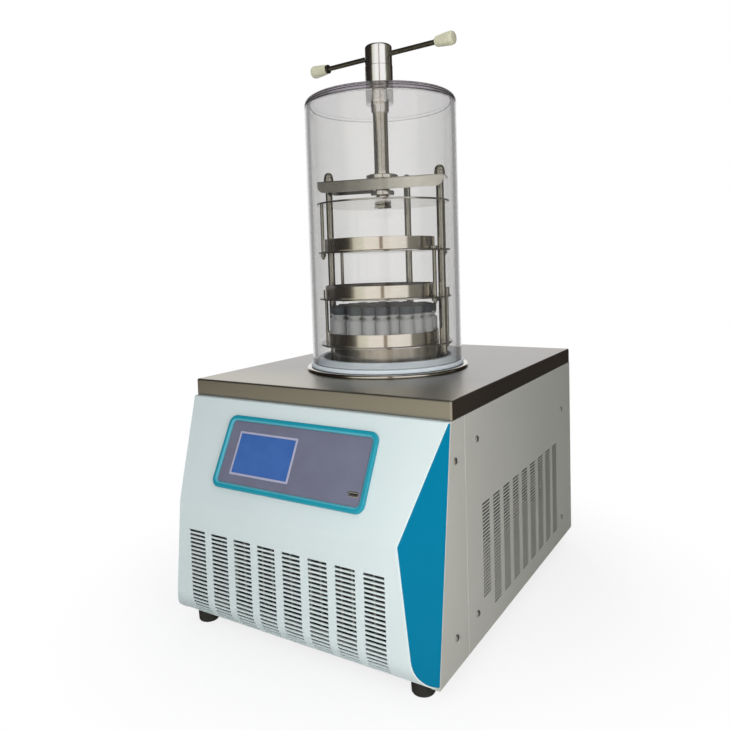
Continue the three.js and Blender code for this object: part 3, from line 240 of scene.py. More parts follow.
lamp("lamp_front", (0.45, -2.3, 1.3), (0, -0.2, 0.3), 1.6, 20.5, (0.96, 0.99, 1.0))
lamp("lamp_overhead", (0.1, 0.1, 2.6), (0, 0, 0.4), 1.8, 10)
lamp("lamp_side", (0.70, -0.62, 0.42), (0.2, -0.27, 0.25), 0.35, 2.3, (1.0, 0.99, 0.96))
lamp("lamp_rear", (-1.3, 2.2, 1.3), (0, 0.1, 0.3), 1.2, 11)


# ---------------------------------------------------------------------------------------------
# Front panel: one steel sheet, 1.5 mm thick, bent over under the deck, at the knee and round its
# lower edge, punched with eight columns of slots and powder-coated white.
DECK_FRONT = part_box("deck")[0].y
PANEL_LOW, PANEL_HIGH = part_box("front_panel")
SHEET = 1.5 * MM
KNEE = (DECK_FRONT - 83 * MM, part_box("deck")[1].z - 167 * MM)
TOP_FOLD = (DECK_FRONT - 8 * MM, PANEL_HIGH.z)
LOWER_RADIUS = 46 * MM
CHEEK_LEAN, CHEEK_TAPER = 0.15, 0.69
HALF_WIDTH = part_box("deck")[1].x


def fillet(points, radii, steps=8):
    """A line of (y, z) points with the inner corners rounded to the radii given."""
    line = [Vector(points[0])]
    for i, radius in enumerate(radii, 1):
        before, corner, after = (Vector(points[k]) for k in (i - 1, i, i + 1))
        arriving, leaving = (before - corner).normalized(), (after - corner).normalized()
        half = arriving.angle(leaving) / 2
        start = corner + arriving * radius / math.tan(half)
        end = corner + leaving * radius / math.tan(half)
        centre = corner + (arriving + leaving).normalized() * radius / math.sin(half)
        first, last = start - centre, end - centre
        turn = first.angle_signed(last)
        for k in range(steps + 1):
            line.append(centre + Matrix.Rotation(-turn * k / steps, 2) @ first)
    line.append(Vector(points[-1]))
    return line


def beside(line, distance):
    """The line that runs a distance to the left of another."""
    moved = []
    for i, point in enumerate(line):
        arriving = (point - line[i - 1]).normalized() if i else None
        leaving = (line[i + 1] - point).normalized() if i + 1 < len(line) else None
        arriving, leaving = arriving or leaving, leaving or arriving
        n1, n2 = (Vector((-d.y, d.x)) for d in (arriving, leaving))
        moved.append(point + (n1 + n2) * distance / (1 + n1.dot(n2)))
    return moved


def lofted(loops, closed=False):
    """Vertices and faces of a solid through loops of points, capped at both ends unless closed."""
    verts = [tuple(p) for loop in loops for p in loop]
    n, faces = len(loops[0]), []
    for i in range(len(loops) - (0 if closed else 1)):
        a, b = i * n, ((i + 1) % len(loops)) * n
        for k in range(n):
            m = (k + 1) % n
            faces.append((a + k, a + m, b + m, b + k))
    if not closed:
        faces.append(tuple(reversed(range(n))))
        faces.append(tuple(range((len(loops) - 1) * n, len(loops) * n)))
    return verts, faces


def solid(name, shape, smooth_below=30):
    """A mesh object whose normals face out, smooth where its faces meet at less than an angle."""
    mesh = bpy.data.meshes.new(name)
    mesh.from_pydata([tuple(v) for v in shape[0]], [], shape[1])
    shell = bmesh.new()
    shell.from_mesh(mesh)
    bmesh.ops.remove_doubles(shell, verts=shell.verts, dist=1e-7)
    bmesh.ops.recalc_face_normals(shell, faces=shell.faces)
    shell.to_mesh(mesh)
    shell.free()
    mesh.shade_smooth()
    mesh.set_sharp_from_angle(angle=math.radians(smooth_below))
    thing = bpy.data.objects.new(name, mesh)
    bpy.context.scene.collection.objects.link(thing)
    return thing


def settled(thing):
    """The object with its modifiers turned into plain mesh."""
    bpy.context.view_layer.update()
    graph = bpy.context.evaluated_depsgraph_get()
    made = bpy.data.meshes.new_from_object(thing.evaluated_get(graph), depsgraph=graph)
    thing.modifiers.clear()
    thing.data = made
    made.name = thing.name
    return thing


def dressed(thing, finish, body, slot, *stands_for):
    """Gives a piece its finish, the body that it moves with and the parts that it stands for."""
    weights = thing.modifiers.new("flats_stay_flat", "WEIGHTED_NORMAL")
    weights.keep_sharp = True
    settled(thing)
    if finish is not None:
        thing.data.materials.clear()
        thing.data.materials.append(finish)
    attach(thing, body)
    if stands_for:
        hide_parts(*stands_for)
    return thing


def new_finish(name):
    """A material with its tree and its surface."""
    finish = bpy.data.materials.new(name)
    finish.use_nodes = True
    return finish, finish.node_tree, finish.node_tree.nodes["Principled BSDF"]


def worked(name, shades, gloss, cloud, stretch=None, skin=None, relief=0.0):
    """A finish whose shade and gloss drift with a cloud, over a fine skin of its own or none."""
    finish, tree, surface = new_finish(name)
    place = added(tree, "ShaderNodeTexCoord").outputs["Object"]
    laid = place
    if stretch:
        laid = added(tree, "ShaderNodeMapping", {"Vector": place, "Scale": stretch})
    cloud = added(
        tree, "ShaderNodeTexNoise", {"Vector": laid, "Scale": cloud[0], "Detail": cloud[1]}
    ).outputs["Fac"]
    shade = ramp(tree, cloud, list(zip((0.3, 0.7), shades)))
    shine = added(
        tree, "ShaderNodeMapRange", {"Value": cloud, "To Min": gloss[0], "To Max": gloss[1]}
    )
    feed(tree, surface, {"Base Color": shade, "Roughness": shine})
    if relief:
        if skin:
            grain = added(tree, "ShaderNodeTexNoise", {"Vector": place, "Scale": skin})
            cloud = grain.outputs["Fac"]
        bump = {"Height": cloud, "Strength": relief, "Distance": 0.0002}
        feed(tree, surface, {"Normal": added(tree, "ShaderNodeBump", bump)})
    return finish


def powder_coat(name, colour, roughness=0.42, peel=0.12):
    """Sprayed and baked paint: slight shade drift, orange-peel skin and a soft sheen."""
    shades = [c * 0.95 for c in colour], colour
    return worked(
        name, shades, (roughness - 0.05, roughness + 0.07), (5, 4), skin=700, relief=peel
    )


def lean_y(z):
    """Where a cheek's rear edge lies at a height."""
    return DECK_FRONT - 4 * MM - CHEEK_LEAN * (PANEL_HIGH.z - z)


def front_half_width(y, z):
    return min(PANEL_HIGH.x, HALF_WIDTH - CHEEK_TAPER * (lean_y(z) - y))


lower_end = DECK_FRONT - 83 * MM + LOWER_RADIUS
front_outline = fillet(
    [
        (DECK_FRONT + 12 * MM, PANEL_HIGH.z),
        TOP_FOLD,
        KNEE,
        (KNEE[0], PANEL_LOW.z),
        (lower_end, PANEL_LOW.z),
    ],
    [2.5 * MM, 7 * MM, LOWER_RADIUS * 0.9999],
    14,
)
front_section = front_outline + beside(front_outline, SHEET)[::-1]
front_panel = solid(
    "front_sheet",
    lofted([[(s * front_half_width(y, z), y, z) for y, z in front_section] for s in (-1, 1)]),
)


def new_tree(name, **inputs):
    """A geometry tree with its input sockets, by name and kind, and one output."""
    tree = bpy.data.node_groups.new(name, "GeometryNodeTree")
    for socket, kind in inputs.items():
        tree.interface.new_socket(socket, in_out="INPUT", socket_type="NodeSocket" + kind)
    tree.interface.new_socket("made", in_out="OUTPUT", socket_type="NodeSocketGeometry")
    return tree, added(tree, "NodeGroupInput").outputs


def painted(tree, geometry, finish):
    """The tree, ended with its geometry in a finish."""
    paint = added(tree, "GeometryNodeSetMaterial", {"Geometry": geometry, "Material": finish})
    feed(tree, tree.nodes.new("NodeGroupOutput"), {0: paint})
    return tree


def punching_tree():
    """Rows of slots punched through a sheet at even steps along a path that lies in it."""
    tree, given = new_tree(
        "punched_slots",
        sheet="Geometry",
        path="Object",
        rows="Int",
        columns="Int",
        column_step="Vector",
        slot_size="Vector",
        finish="Material",
    )
    path = added(tree, "GeometryNodeObjectInfo", {"Object": given["path"]}).outputs["Geometry"]
    stations = added(
        tree, "GeometryNodeCurveToPoints", {"Curve": path, "Count": given["rows"]}, mode="COUNT"
    )
    back = reckoned(tree, "MULTIPLY_ADD", given["columns"], -0.5, 0.5)
    step = given["column_step"]
    first = added(tree, "ShaderNodeVectorMath", {0: step, "Scale": back}, operation="SCALE")
    row = added(
        tree,
        "GeometryNodeMeshLine",
        {"Count": given["columns"], "Start Location": first, "Offset": step},
    )
    punch = added(tree, "GeometryNodeMeshCube", {"Size": given["slot_size"]})
    punches = added(tree, "GeometryNodeInstanceOnPoints", {"Points": row, "Instance": punch})
    aim = added(
        tree,
        "FunctionNodeAlignRotationToVector",
        {"Vector": stations.outputs["Tangent"]},
        axis="Z",
        pivot_axis="X",
    )
    punches = added(
        tree,
        "GeometryNodeInstanceOnPoints",
        {"Points": stations, "Instance": punches, "Rotation": aim},
    )
    real = added(tree, "GeometryNodeRealizeInstances", {0: punches})
    cut = added(
        tree,
        "GeometryNodeMeshBoolean",
        {"Mesh 1": given["sheet"], "Mesh 2": real},
        operation="DIFFERENCE",
        solver="MANIFOLD",
    )
    return painted(tree, cut, given["finish"])


def give(modifier, **values):
    """Sets a tree's inputs by their names."""
    for entry in modifier.node_group.interface.items_tree:
        if entry.in_out == "INPUT" and entry.name in values:
            modifier[entry.identifier] = values[entry.name]


def path_through(points):
    """A line through points, for the punches to follow."""
    curve = bpy.data.curves.new("path", "CURVE")
    curve.dimensions = "3D"
    spline = curve.splines.new("POLY")
    spline.points.add(len(points) - 1)
    for point, place in zip(spline.points, points):
        point.co = (*place, 1)
    holder = bpy.data.objects.new("path", curve)
    bpy.context.scene.collection.objects.link(holder)
    return holder


def punched(sheet, path, **slots):
    """Punches slots through a sheet and leaves it as plain mesh."""
    line = path_through(path)
    press = sheet.modifiers.new("slots", "NODES")
    press.node_group = SLOT_PRESS
    give(press, path=line, **slots)
    settled(sheet)
    bpy.data.objects.remove(line)
    sheet.data.set_sharp_from_angle(angle=math.radians(30))


SLOT_PRESS = punching_tree()
SLOT_PITCH = 6.1 * MM
FRONT_ROWS = 22
FIRST_SLOT = 43 * MM
BEND_STEPS = 24
white_coat = powder_coat("white_coat", (0.69, 0.77, 0.77))
upright = KNEE[1] - PANEL_LOW.z - LOWER_RADIUS
slot_path = [(0, KNEE[0], KNEE[1] - FIRST_SLOT)]
travelled = (FRONT_ROWS - 1) * SLOT_PITCH + FIRST_SLOT - upright
for k in range(BEND_STEPS + 1):
    turn = travelled / LOWER_RADIUS * k / BEND_STEPS
    y = lower_end - LOWER_RADIUS * math.cos(turn)
    z = PANEL_LOW.z + LOWER_RADIUS - LOWER_RADIUS * math.sin(turn)
    slot_path.append((0, y, z))
punched(
    front_panel,
    slot_path,
    rows=FRONT_ROWS,
    columns=8,
    column_step=(43.5 * MM, 0, 0),
    slot_size=(31 * MM, 9 * MM, 3.7 * MM),
    finish=white_coat,
)
dressed(front_panel, None, "cabinet", "white_paint", "front_panel")


# ---------------------------------------------------------------------------------------------
# Cheeks: flat steel sheets, powder-coated petrol blue, let in between the front sheet's slanting
# edge and the corner post and held from inside.
def kept(node, finish):
    """A CAD part that stays as it is and gets its finish."""
    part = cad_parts[node]
    part.data.materials.clear()
    part.data.materials.append(finish)


petrol_coat = powder_coat("petrol_coat", (0.0, 0.172, 0.305), 0.38, 0.10)
petrol_coat.node_tree.nodes["Principled BSDF"].inputs["Specular IOR Level"].default_value = 0.06
for node in ("cheek_left", "cheek_right"):
    kept(node, petrol_coat)


# ---------------------------------------------------------------------------------------------
# Corner posts and side panels: grey-coated folded sheets. Each side panel is punched with nine
# strips of slots; the first strip ends early to clear a screw.
grey_coat = powder_coat("grey_coat", (0.47, 0.465, 0.425), 0.5, 0.14)
DECK_LOW, DECK_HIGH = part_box("deck")
DECK_TOP = DECK_HIGH.z
SEAM = DECK_FRONT + 38 * MM
REAR_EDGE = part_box("side_panel_right")[1].y
SEAM_GAP = 0.2 * MM
FOLD = 12 * MM
SIDE_PITCH = 5.1 * MM
STRIP_STEP = 41 * MM
STRIP_TOP = DECK_TOP - 164.6 * MM


def folded_side(name, side, front, rear):
    """An upright sheet folded inwards at both ends; front gives its front edge at a height."""
    inner, outer = HALF_WIDTH - FOLD, HALF_WIDTH
    loops = []
    for z in (PANEL_LOW.z, PANEL_HIGH.z):
        corners = [(inner, front(z)), (outer, front(z)), (outer, rear), (inner, rear)]
        line = fillet(corners, [1.4 * MM] * 2, 4)
        wall = line + beside(line, SHEET * 0.9)[::-1]
        loops.append([(side * x, y, z) for x, y in wall])
    return solid(name, lofted(loops))


for side, word in ((-1, "left"), (1, "right")):
    post = folded_side(f"corner_post_{word}_sheet", side, lean_y, SEAM - SEAM_GAP)
    dressed(post, grey_coat, "cabinet", "grey_paint", f"corner_post_{word}")
    panel = folded_side(f"side_{word}_sheet", side, lambda z: SEAM + SEAM_GAP, REAR_EDGE)
    for first, columns, rows in ((0, 1, 27), (1, 8, 32)):
        middle = SEAM + 69 * MM + (first + (columns - 1) / 2) * STRIP_STEP
        x = side * (HALF_WIDTH - 0.7 * MM)
        punched(
            panel,
            [(x, middle, STRIP_TOP), (x, middle, STRIP_TOP - (rows - 1) * SIDE_PITCH)],
            rows=rows,
            columns=columns,
            column_step=(0, STRIP_STEP, 0),
            slot_size=(8 * MM, 28 * MM, 3.1 * MM),
            finish=grey_coat,
        )
    dressed(panel, None, "cabinet", "grey_paint", f"side_panel_{word}")


# ---------------------------------------------------------------------------------------------
# Panel screws: cross-recessed pan heads, zinc-plated, one for each fixing of the corner posts and
# side panels. One head is spread over the fixing points.
def turned(profile, sides=96, middle=(0, 0), base=0.0):
    """A shape turned about a vertical axis from its (radius, height) profile in millimetres."""
    verts, rings = [], []
    for r, z in profile:
        if r < 1e-6:
            rings.append([len(verts)] * sides)
            verts.append((middle[0], middle[1], base + z * MM))
            continue
        rings.append(range(len(verts), len(verts) + sides))
        for k in range(sides):
            a = 2 * math.pi * k / sides
            x, y = middle[0] + r * MM * math.cos(a), middle[1] + r * MM * math.sin(a)
            verts.append((x, y, base + z * MM))
    pairs = list(zip(rings, rings[1:]))
    if profile[0][0] > 1e-6:
        pairs.append((rings[-1], rings[0]))
    faces = []
    for low, high in pairs:
        for k in range(sides):
            m = (k + 1) % sides
            face = list(dict.fromkeys((low[k], low[m], high[m], high[k])))
            if len(face) > 2:
                faces.append(face)
    return verts, faces


def moved(shape, matrix):
    return [tuple(matrix @ Vector(v)) for v in shape[0]], shape[1]


def together(*shapes):
    verts, faces = [], []
    for some, polygons in shapes:
        faces += [[i + len(verts) for i in face] for face in polygons]
        verts += list(some)
    return verts, faces


def bright_metal(name, colour, roughness, grain=(1, 1, 1), streak=0.04, scale=60, relief=0.0):
    """Bare metal: its grain, stretched along the way it was worked, varies shade and gloss."""
    shades = [c * (1 - 2 * streak) for c in colour], colour
    gloss = max(0.02, roughness - streak), roughness + streak
    finish = worked(name, shades, gloss, (scale, 5), stretch=grain, relief=relief)
    finish.node_tree.nodes["Principled BSDF"].inputs["Metallic"].default_value = 1
    return finish


def painted_reflection_along(finish, axis, low, high, stops):
    """Paints a reflection into a metal's colour: a tone along the piece in place of what it would
    mirror in a room.
    """
    tree = finish.node_tree
    metal = tree.nodes["Principled BSDF"]
    place = added(tree, "ShaderNodeTexCoord").outputs["Object"]
    place = added(tree, "ShaderNodeSeparateXYZ", {0: place}).outputs[axis]
    along = added(
        tree, "ShaderNodeMapRange", {"Value": place, "From Min": low, "From Max": high}
    )
    shade = metal.inputs["Base Color"].links[0].from_socket
    tone = added(
        tree,
        "ShaderNodeMix",
        {0: 1, 6: shade, 7: ramp(tree, along, stops)},
        data_type="RGBA",
        blend_type="MULTIPLY",
    )
    feed(tree, metal, {"Base Color": tone.outputs[2]})
    return finish


zinc_plate = bright_metal("zinc_plate", (0.42, 0.42, 0.40), 0.35, scale=400)


def cross_head():
    """A pan head about the X axis with a cross sunk into it."""
    dome = turned([(0, -1), (4.4, -1), (4.4, 0.5), (3.9, 1.6), (2.6, 2.3), (0, 2.5)], 24)
    head = solid("head", dome)
    blades = []
    for w, d in ((0.9 * MM, 5 * MM), (5 * MM, 0.9 * MM)):
        corners = [(-w / 2, -d / 2), (w / 2, -d / 2), (w / 2, d / 2), (-w / 2, d / 2)]
        blade = solid("blade", lofted([[(x, y, z * MM) for x, y in corners] for z in (1, 4)]))
        press = head.modifiers.new("cross", "BOOLEAN")
        press.object = blade
        press.solver = "EXACT"
        blades.append(blade)
    settled(head)
    for blade in blades:
        bpy.data.objects.remove(blade)
    head.data.transform(Matrix.Rotation(math.pi / 2, 4, "Y"))
    return head


def spreading_tree():
    """One shape set on every given point."""
    tree, given = new_tree(
        "set_on_points",
        points="Geometry",
        shape="Object",
        turn="Rotation",
        turn_spread="Float",
        finish="Material",
    )
    shape = added(tree, "GeometryNodeObjectInfo", {"Object": given["shape"]}).outputs["Geometry"]
    most = given["turn_spread"]
    least = reckoned(tree, "MULTIPLY", most, -1)
    chance = added(tree, "FunctionNodeRandomValue", {"Seed": 7, 2: least, 3: most})
    spin = added(
        tree,
        "FunctionNodeAxisAngleToRotation",
        {"Axis": (1, 0, 0), "Angle": chance.outputs[1]},
    )
    both = added(
        tree, "FunctionNodeRotateRotation", {0: given["turn"], 1: spin}, rotation_space="LOCAL"
    )
    pieces = added(
        tree,
        "GeometryNodeInstanceOnPoints",
        {"Points": given["points"], "Instance": shape, "Rotation": both},
    )
    real = added(tree, "GeometryNodeRealizeInstances", {0: pieces})
    return painted(tree, real, given["finish"])


SPREADER = spreading_tree()


def spread(name, shape, points, finish, turn=(0, 0, 0), turn_spread=0.0):
    """Copies of a shape on points, joined as one plain mesh."""
    cloud = bpy.data.meshes.new(name)
    cloud.from_pydata([tuple(p) for p in points], [], [])
    holder = bpy.data.objects.new(name, cloud)
    bpy.context.scene.collection.objects.link(holder)
    setter = holder.modifiers.new("set", "NODES")
    setter.node_group = SPREADER
    give(setter, shape=shape, turn=turn, turn_spread=turn_spread, finish=finish)
    return settled(holder)


screw = cross_head()
SCREWS = ((6, 79), (-0.5, 310), (78, 67), (70, 310), (478, 106), (471.5, 310))
for side, word in ((-1, "left"), (1, "right")):
    x = side * (HALF_WIDTH + 0.1 * MM)
    fixings = [(x, DECK_FRONT + y * MM, DECK_TOP - drop * MM) for y, drop in SCREWS]
    facing_out = (0, 0, 0 if side > 0 else math.pi)
    heads = spread(f"screws_{word}", screw, fixings, zinc_plate, facing_out, 1.5)
    dressed(heads, None, "cabinet", "dark_steel")
bpy.data.objects.remove(screw)


# ---------------------------------------------------------------------------------------------
# Deck: satin stainless sheet, folded down 26 mm all round with welded, dressed corners, with a
# round hole for the cold trap. Its grain runs across the machine.
CHAMBER = (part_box("chamber_tube")[0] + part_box("chamber_tube")[1]) / 2
TRAP_HOLE = 102.5 * MM


def rounded_loop(x0, x1, y0, y1, radius, steps=6, along=12):
    """Points of a rounded rectangle, anticlockwise, with its sides divided too."""
    loop = []
    for cx, cy, start in (
        (x1 - radius, y1 - radius, 0),
        (x0 + radius, y1 - radius, 90),
        (x0 + radius, y0 + radius, 180),
        (x1 - radius, y0 + radius, 270),
    ):
        for k in range(steps + 1):
            a = math.radians(start + 90 * k / steps)
            loop.append((cx + radius * math.cos(a), cy + radius * math.sin(a)))
    divided = []
    for a, b in zip(loop, loop[1:] + loop[:1]):
        parts = along if math.dist(a, b) > 5 * radius else 1
        for k in range(parts):
            divided.append((a[0] + (b[0] - a[0]) * k / parts, a[1] + (b[1] - a[1]) * k / parts))
    return divided


def deck_shape():
    """The folded sheet with its bent edge, from the trap's hole round to the hole's underside."""
    bend, wall = 2.6 * MM, SHEET

    def loop(inset, z):
        (x0, y0, _), (x1, y1, _) = DECK_LOW, DECK_HIGH
        corner = max(0.6 * MM, 3.2 * MM - inset)
        edge = rounded_loop(x0 + inset, x1 - inset, y0 + inset, y1 - inset, corner)
        return [(x, y, z) for x, y in edge]

    def hole(z):
        ring = []
        for x, y, _ in loop(bend, z):
            away = math.dist((x, y), CHAMBER[:2])
            ring.append(
                (
                    CHAMBER.x + TRAP_HOLE * (x - CHAMBER.x) / away,
                    CHAMBER.y + TRAP_HOLE * (y - CHAMBER.y) / away,
                    z,
                )
            )
        return ring

    rings = [hole(DECK_TOP)]
    for k in range(6):
        a = math.radians(90 - 18 * k)
        rings.append(loop(bend - bend * math.cos(a), DECK_TOP - bend + bend * math.sin(a)))
    rings += [
        loop(0, DECK_LOW.z + 0.5 * MM),
        loop(0.4 * MM, DECK_LOW.z),
        loop(wall, DECK_LOW.z),
        loop(wall, DECK_TOP - wall),
        hole(DECK_TOP - wall),
    ]
    return lofted(rings, closed=True)


# Painted reflection: the deck's colour is warmer and lighter just behind its front edge and fades
# to plain steel towards the rear.
deck_steel = painted_reflection_along(
    bright_metal("deck_steel", (0.60, 0.59, 0.57), 0.34, (0.6, 24, 24), 0.02, 30, 0.02),
    "Y",
    -0.2415,
    -0.09,
    (
        (0, (0.64, 0.62, 0.57)),
        (0.02, (0.64, 0.62, 0.57)),
        (0.04, (0.84, 0.81, 0.71)),
        (0.35, (0.80, 0.77, 0.69)),
        (1, (0.63, 0.62, 0.62)),
    ),
)
dressed(solid("deck_sheet", deck_shape()), deck_steel, "cabinet", "deck_steel", "deck")


# ---------------------------------------------------------------------------------------------
# Floor pan and rear panel: grey-coated sheets that close the cabinet below and behind.
for node in ("base_pan", "rear_panel"):
    kept(node, grey_coat)


# ---------------------------------------------------------------------------------------------
# Feet: black rubber buffers screwed up into the floor pan, slightly flared towards the top.
def moulded(name, colour, roughness=0.5, grain=900, relief=0.15, drift=0.06):
    """Moulded rubber or plastic with a fine grain and a little wear in its gloss."""
    shades = [c * (1 - drift) for c in colour], [min(1, c * (1 + drift)) for c in colour]
    gloss = roughness - 0.06, roughness + 0.06
    return worked(name, shades, gloss, (35, 4), skin=grain, relief=relief)


black_rubber = moulded("black_rubber", (0.012, 0.012, 0.012), 0.75, 1200, 0.3)
FOOT = [(0, 2.5), (5, 2.5), (6, 0), (12.5, 0), (14.5, 0.6), (15.6, 2.2)]
for node in ("foot_front_left", "foot_front_right", "foot_rear_left", "foot_rear_right"):
    low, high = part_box(node)
    middle = (low + high) / 2
    tall = (high.z - low.z) / MM
    profile = FOOT + [(16.4, tall - 4), (17, tall - 3), (17, tall), (0, tall)]
    buffer = solid(node + "_rubber", turned(profile, 64, (middle.x, middle.y), low.z))
    dressed(buffer, black_rubber, "cabinet", "black_rubber", node)


# ---------------------------------------------------------------------------------------------
# Display: a moulded teal frame with a lighter inner step, a printed grey film, a blue touch
# screen with a pale rim, and a small port, all lying on the slope of the front sheet.
slope = (Vector(KNEE) - Vector(TOP_FOLD)).normalized()
frame_middle = Vector(TOP_FOLD) + slope * 77 * MM
on_slope = Matrix.Translation((0, *frame_middle)) @ Matrix(
    ((1, 0, 0), (0, -slope.x, slope.y), (0, -slope.y, -slope.x))
).to_4x4()
FRAME_SIZE = (262, 108)
FRAME_CORNER = 13
SCREEN_AT = (-50.5, -1)
PORT_AT = (111, -30)


def plate_loop(width, height, corner, z, x=0, y=0):
    """A rounded rectangle on the slope, in millimetres."""
    x0, x1 = (x - width / 2) * MM, (x + width / 2) * MM
    y0, y1 = (y - height / 2) * MM, (y + height / 2) * MM
    return [(px, py, z * MM) for px, py in rounded_loop(x0, x1, y0, y1, corner * MM, 8, 1)]


def plate_ring(width, height, corner, section, at=(0, 0)):
    """A closed ring whose section gives how far in from its outer edge, and how high, it runs."""
    rings = [plate_loop(width - 2 * d, height - 2 * d, corner(d), h, *at) for d, h in section]
    return moved(lofted(rings, closed=True), on_slope)


def slab(width, height, corner, z0, z1, x=0, y=0, edge=0.3):
    """A flat plate on the slope with eased upper edges."""
    rings = [
        plate_loop(width, height, corner, z0, x, y),
        plate_loop(width, height, corner, z1 - edge, x, y),
        plate_loop(width - 2 * edge, height - 2 * edge, max(0.2, corner - edge), z1, x, y),
    ]
    return moved(lofted(rings), on_slope)


teal_plastic = moulded("teal_plastic", (0.008, 0.285, 0.38), 0.32, 600, 0.05, 0.03)
cyan_plastic = moulded("cyan_plastic", (0.075, 0.40, 0.50), 0.32, 600, 0.05, 0.03)
outer_band = [(0, 0.3), (0, 2.6), (0.5, 3.8), (1.6, 4.6), (4.2, 4.8), (5.2, 4.4), (5.2, 0.3)]
inner_band = [(5.2, 0.3), (5.2, 4.2), (6.2, 3.9), (7.4, 3.2), (8.2, 2.3), (8.2, 0.3)]
for name, section, finish, *node in (
    ("frame_outer_band", outer_band, teal_plastic, "display_frame"),
    ("frame_inner_band", inner_band, cyan_plastic),
):
    band = plate_ring(*FRAME_SIZE, lambda d: FRAME_CORNER - 0.8 * d, section)
    dressed(solid(name, band, 50), finish, "cabinet", "teal_plastic", *node)
printed_film = moulded("printed_film", (0.168, 0.170, 0.240), 0.42, 1500, 0.08, 0.05)
film = solid("display_film", slab(244.8, 90.8, 5, 0.3, 1.9, edge=0.2))
dressed(film, printed_film, "cabinet", "grey_film", "display_panel", "control_board")
pale_rim = moulded("screen_rim", (0.42, 0.42, 0.56), 0.35, 900, 0.04, 0.03)
rim_section = ((0, 1.7), (0, 2.5), (0.5, 2.9), (2.7, 2.9), (3.1, 2.6), (3.1, 1.7))
rim = plate_ring(107, 64, lambda d: max(0.4, 1.6 - 0.5 * d), rim_section, SCREEN_AT)
dressed(solid("screen_rim", rim), pale_rim, "cabinet", "grey_film")


def lit_screen():
    """Blue liquid-crystal glass: faint cloudy backlight under a clear gloss cover."""
    finish, tree, glass = new_finish("lit_screen")
    place = added(tree, "ShaderNodeTexCoord").outputs["Object"]
    cloud = added(tree, "ShaderNodeTexNoise", {"Vector": place, "Scale": 22, "Detail": 3})
    shades = ((0.35, (0.036, 0.105, 0.33)), (0.65, (0.052, 0.130, 0.37)))
    shade = ramp(tree, cloud.outputs["Fac"], shades)
    feed(
        tree,
        glass,
        {
            "Roughness": 0.16,
            "Emission Strength": 0.12,
            "Specular IOR Level": 0.2,
            "Base Color": shade,
            "Emission Color": shade,
        },
    )
    return finish


glass = solid("screen_glass", slab(100.4, 57.4, 0.5, 1.7, 2.4, *SCREEN_AT, edge=0.1))
dressed(glass, lit_screen(), "cabinet", "blue_screen", "touch_screen")
port_steel = bright_metal("port_steel", (0.62, 0.60, 0.55), 0.3, scale=300)
black_plastic = moulded("black_plastic", (0.014, 0.014, 0.015), 0.42)
port_section = ((0, 1.7), (0, 2.1), (0.3, 2.3), (1.6, 2.3), (2.0, 2.0), (2.0, 1.7))
port = plate_ring(17, 6.8, lambda d: max(0.5, 3.3 - d), port_section, PORT_AT)
dressed(solid("port_shell", port), port_steel, "cabinet", "dark_steel", "data_port")
insert = solid("port_insert", slab(12.8, 2.6, 1.2, 1.7, 2.1, *PORT_AT, edge=0.1))
dressed(insert, black_plastic, "cabinet", "black_plastic")


# ---------------------------------------------------------------------------------------------
# Cold trap and vacuum pipe: a deep-drawn stainless pot let into the deck, its foam jacket and
# copper coil, and the pipe that leads to the rear of the cabinet.
kept("cold_trap", deck_steel)
kept("vacuum_pipe", deck_steel)
kept("trap_insulation", moulded("dark_foam", (0.03, 0.03, 0.03), 0.9, 250, 0.8))
kept("evaporator_coil", bright_metal("copper_tube", (0.72, 0.33, 0.17), 0.32, scale=80))


# ---------------------------------------------------------------------------------------------
# Chamber flange and gasket: a polished stainless ring on the deck, and on it the L-shaped ring of
# white silicone that the tube stands on.
def round_chamber(profile, sides=160):
    """A shape turned about the chamber's axis, with heights above the deck."""
    return turned(profile, sides, CHAMBER[:2], DECK_TOP)


polished_steel = bright_metal(
    "polished_steel", (0.62, 0.60, 0.555), 0.09, (1, 1, 6), 0.03, 45, 0.02
)
soft_silicone = moulded("soft_silicone", (0.78, 0.84, 0.89), 0.38, 700, 0.06, 0.03)
rubber = soft_silicone.node_tree.nodes["Principled BSDF"]
rubber.inputs["Subsurface Weight"].default_value = 0.3
rubber.inputs["Subsurface Radius"].default_value = (0.004, 0.004, 0.005)
flange = [(109.6, 0.3), (136.6, 0.3), (137.4, 0.9), (137.6, 1.8), (137.4, 3.2), (136.5, 4.5)]
flange += [(134.8, 5.3), (132.6, 5.5), (109.6, 5.5)]
flange_ring = solid("flange_ring", round_chamber(flange), 40)
dressed(flange_ring, polished_steel, "cabinet", "polished_steel", "chamber_flange")
gasket = [(108.4, 5.8), (129.0, 5.8), (130.0, 6.8), (130.0, 10.6), (129.0, 11.8), (118.4, 11.8)]
gasket += [(118.0, 12.4), (118.0, 20.6), (117.0, 21.8), (109.4, 21.8), (108.4, 20.8)]
gasket_ring = solid("gasket_ring", round_chamber(gasket), 50)
dressed(gasket_ring, soft_silicone, "cabinet", "white_silicone", "chamber_gasket")


# ---------------------------------------------------------------------------------------------
# Chamber tube and lid: cast clear acrylic, 8 mm wall, polished ends, closed by a thick flat lid
# with a rounded rim. The acrylic has a faint grey-violet tint that gathers in its edges. Neither
# casts a shadow, so that what stands inside is lit as it is through clear plastic.
def clear_acrylic(name, tint, soaked=None, density=0.0, clear=1.0, roughness=0.0):
    """Clear or frosted plastic or glass, with its tint and what its thickness soaks up."""
    finish, tree, acrylic = new_finish(name)
    place = added(tree, "ShaderNodeTexCoord").outputs["Object"]
    haze = added(tree, "ShaderNodeTexNoise", {"Vector": place, "Scale": 9, "Detail": 4})
    shades = ((0.35, [c * 0.985 for c in tint]), (0.65, tint))
    shade = ramp(tree, haze.outputs["Fac"], shades)
    looks = {"Transmission Weight": clear, "IOR": 1.49, "Roughness": roughness}
    feed(tree, acrylic, looks | {"Base Color": shade})
    if density:
        soak = {"Color": (*soaked, 1), "Density": density}
        depth = added(tree, "ShaderNodeVolumeAbsorption", soak)
        feed(tree, tree.nodes["Material Output"], {"Volume": depth})
    return finish


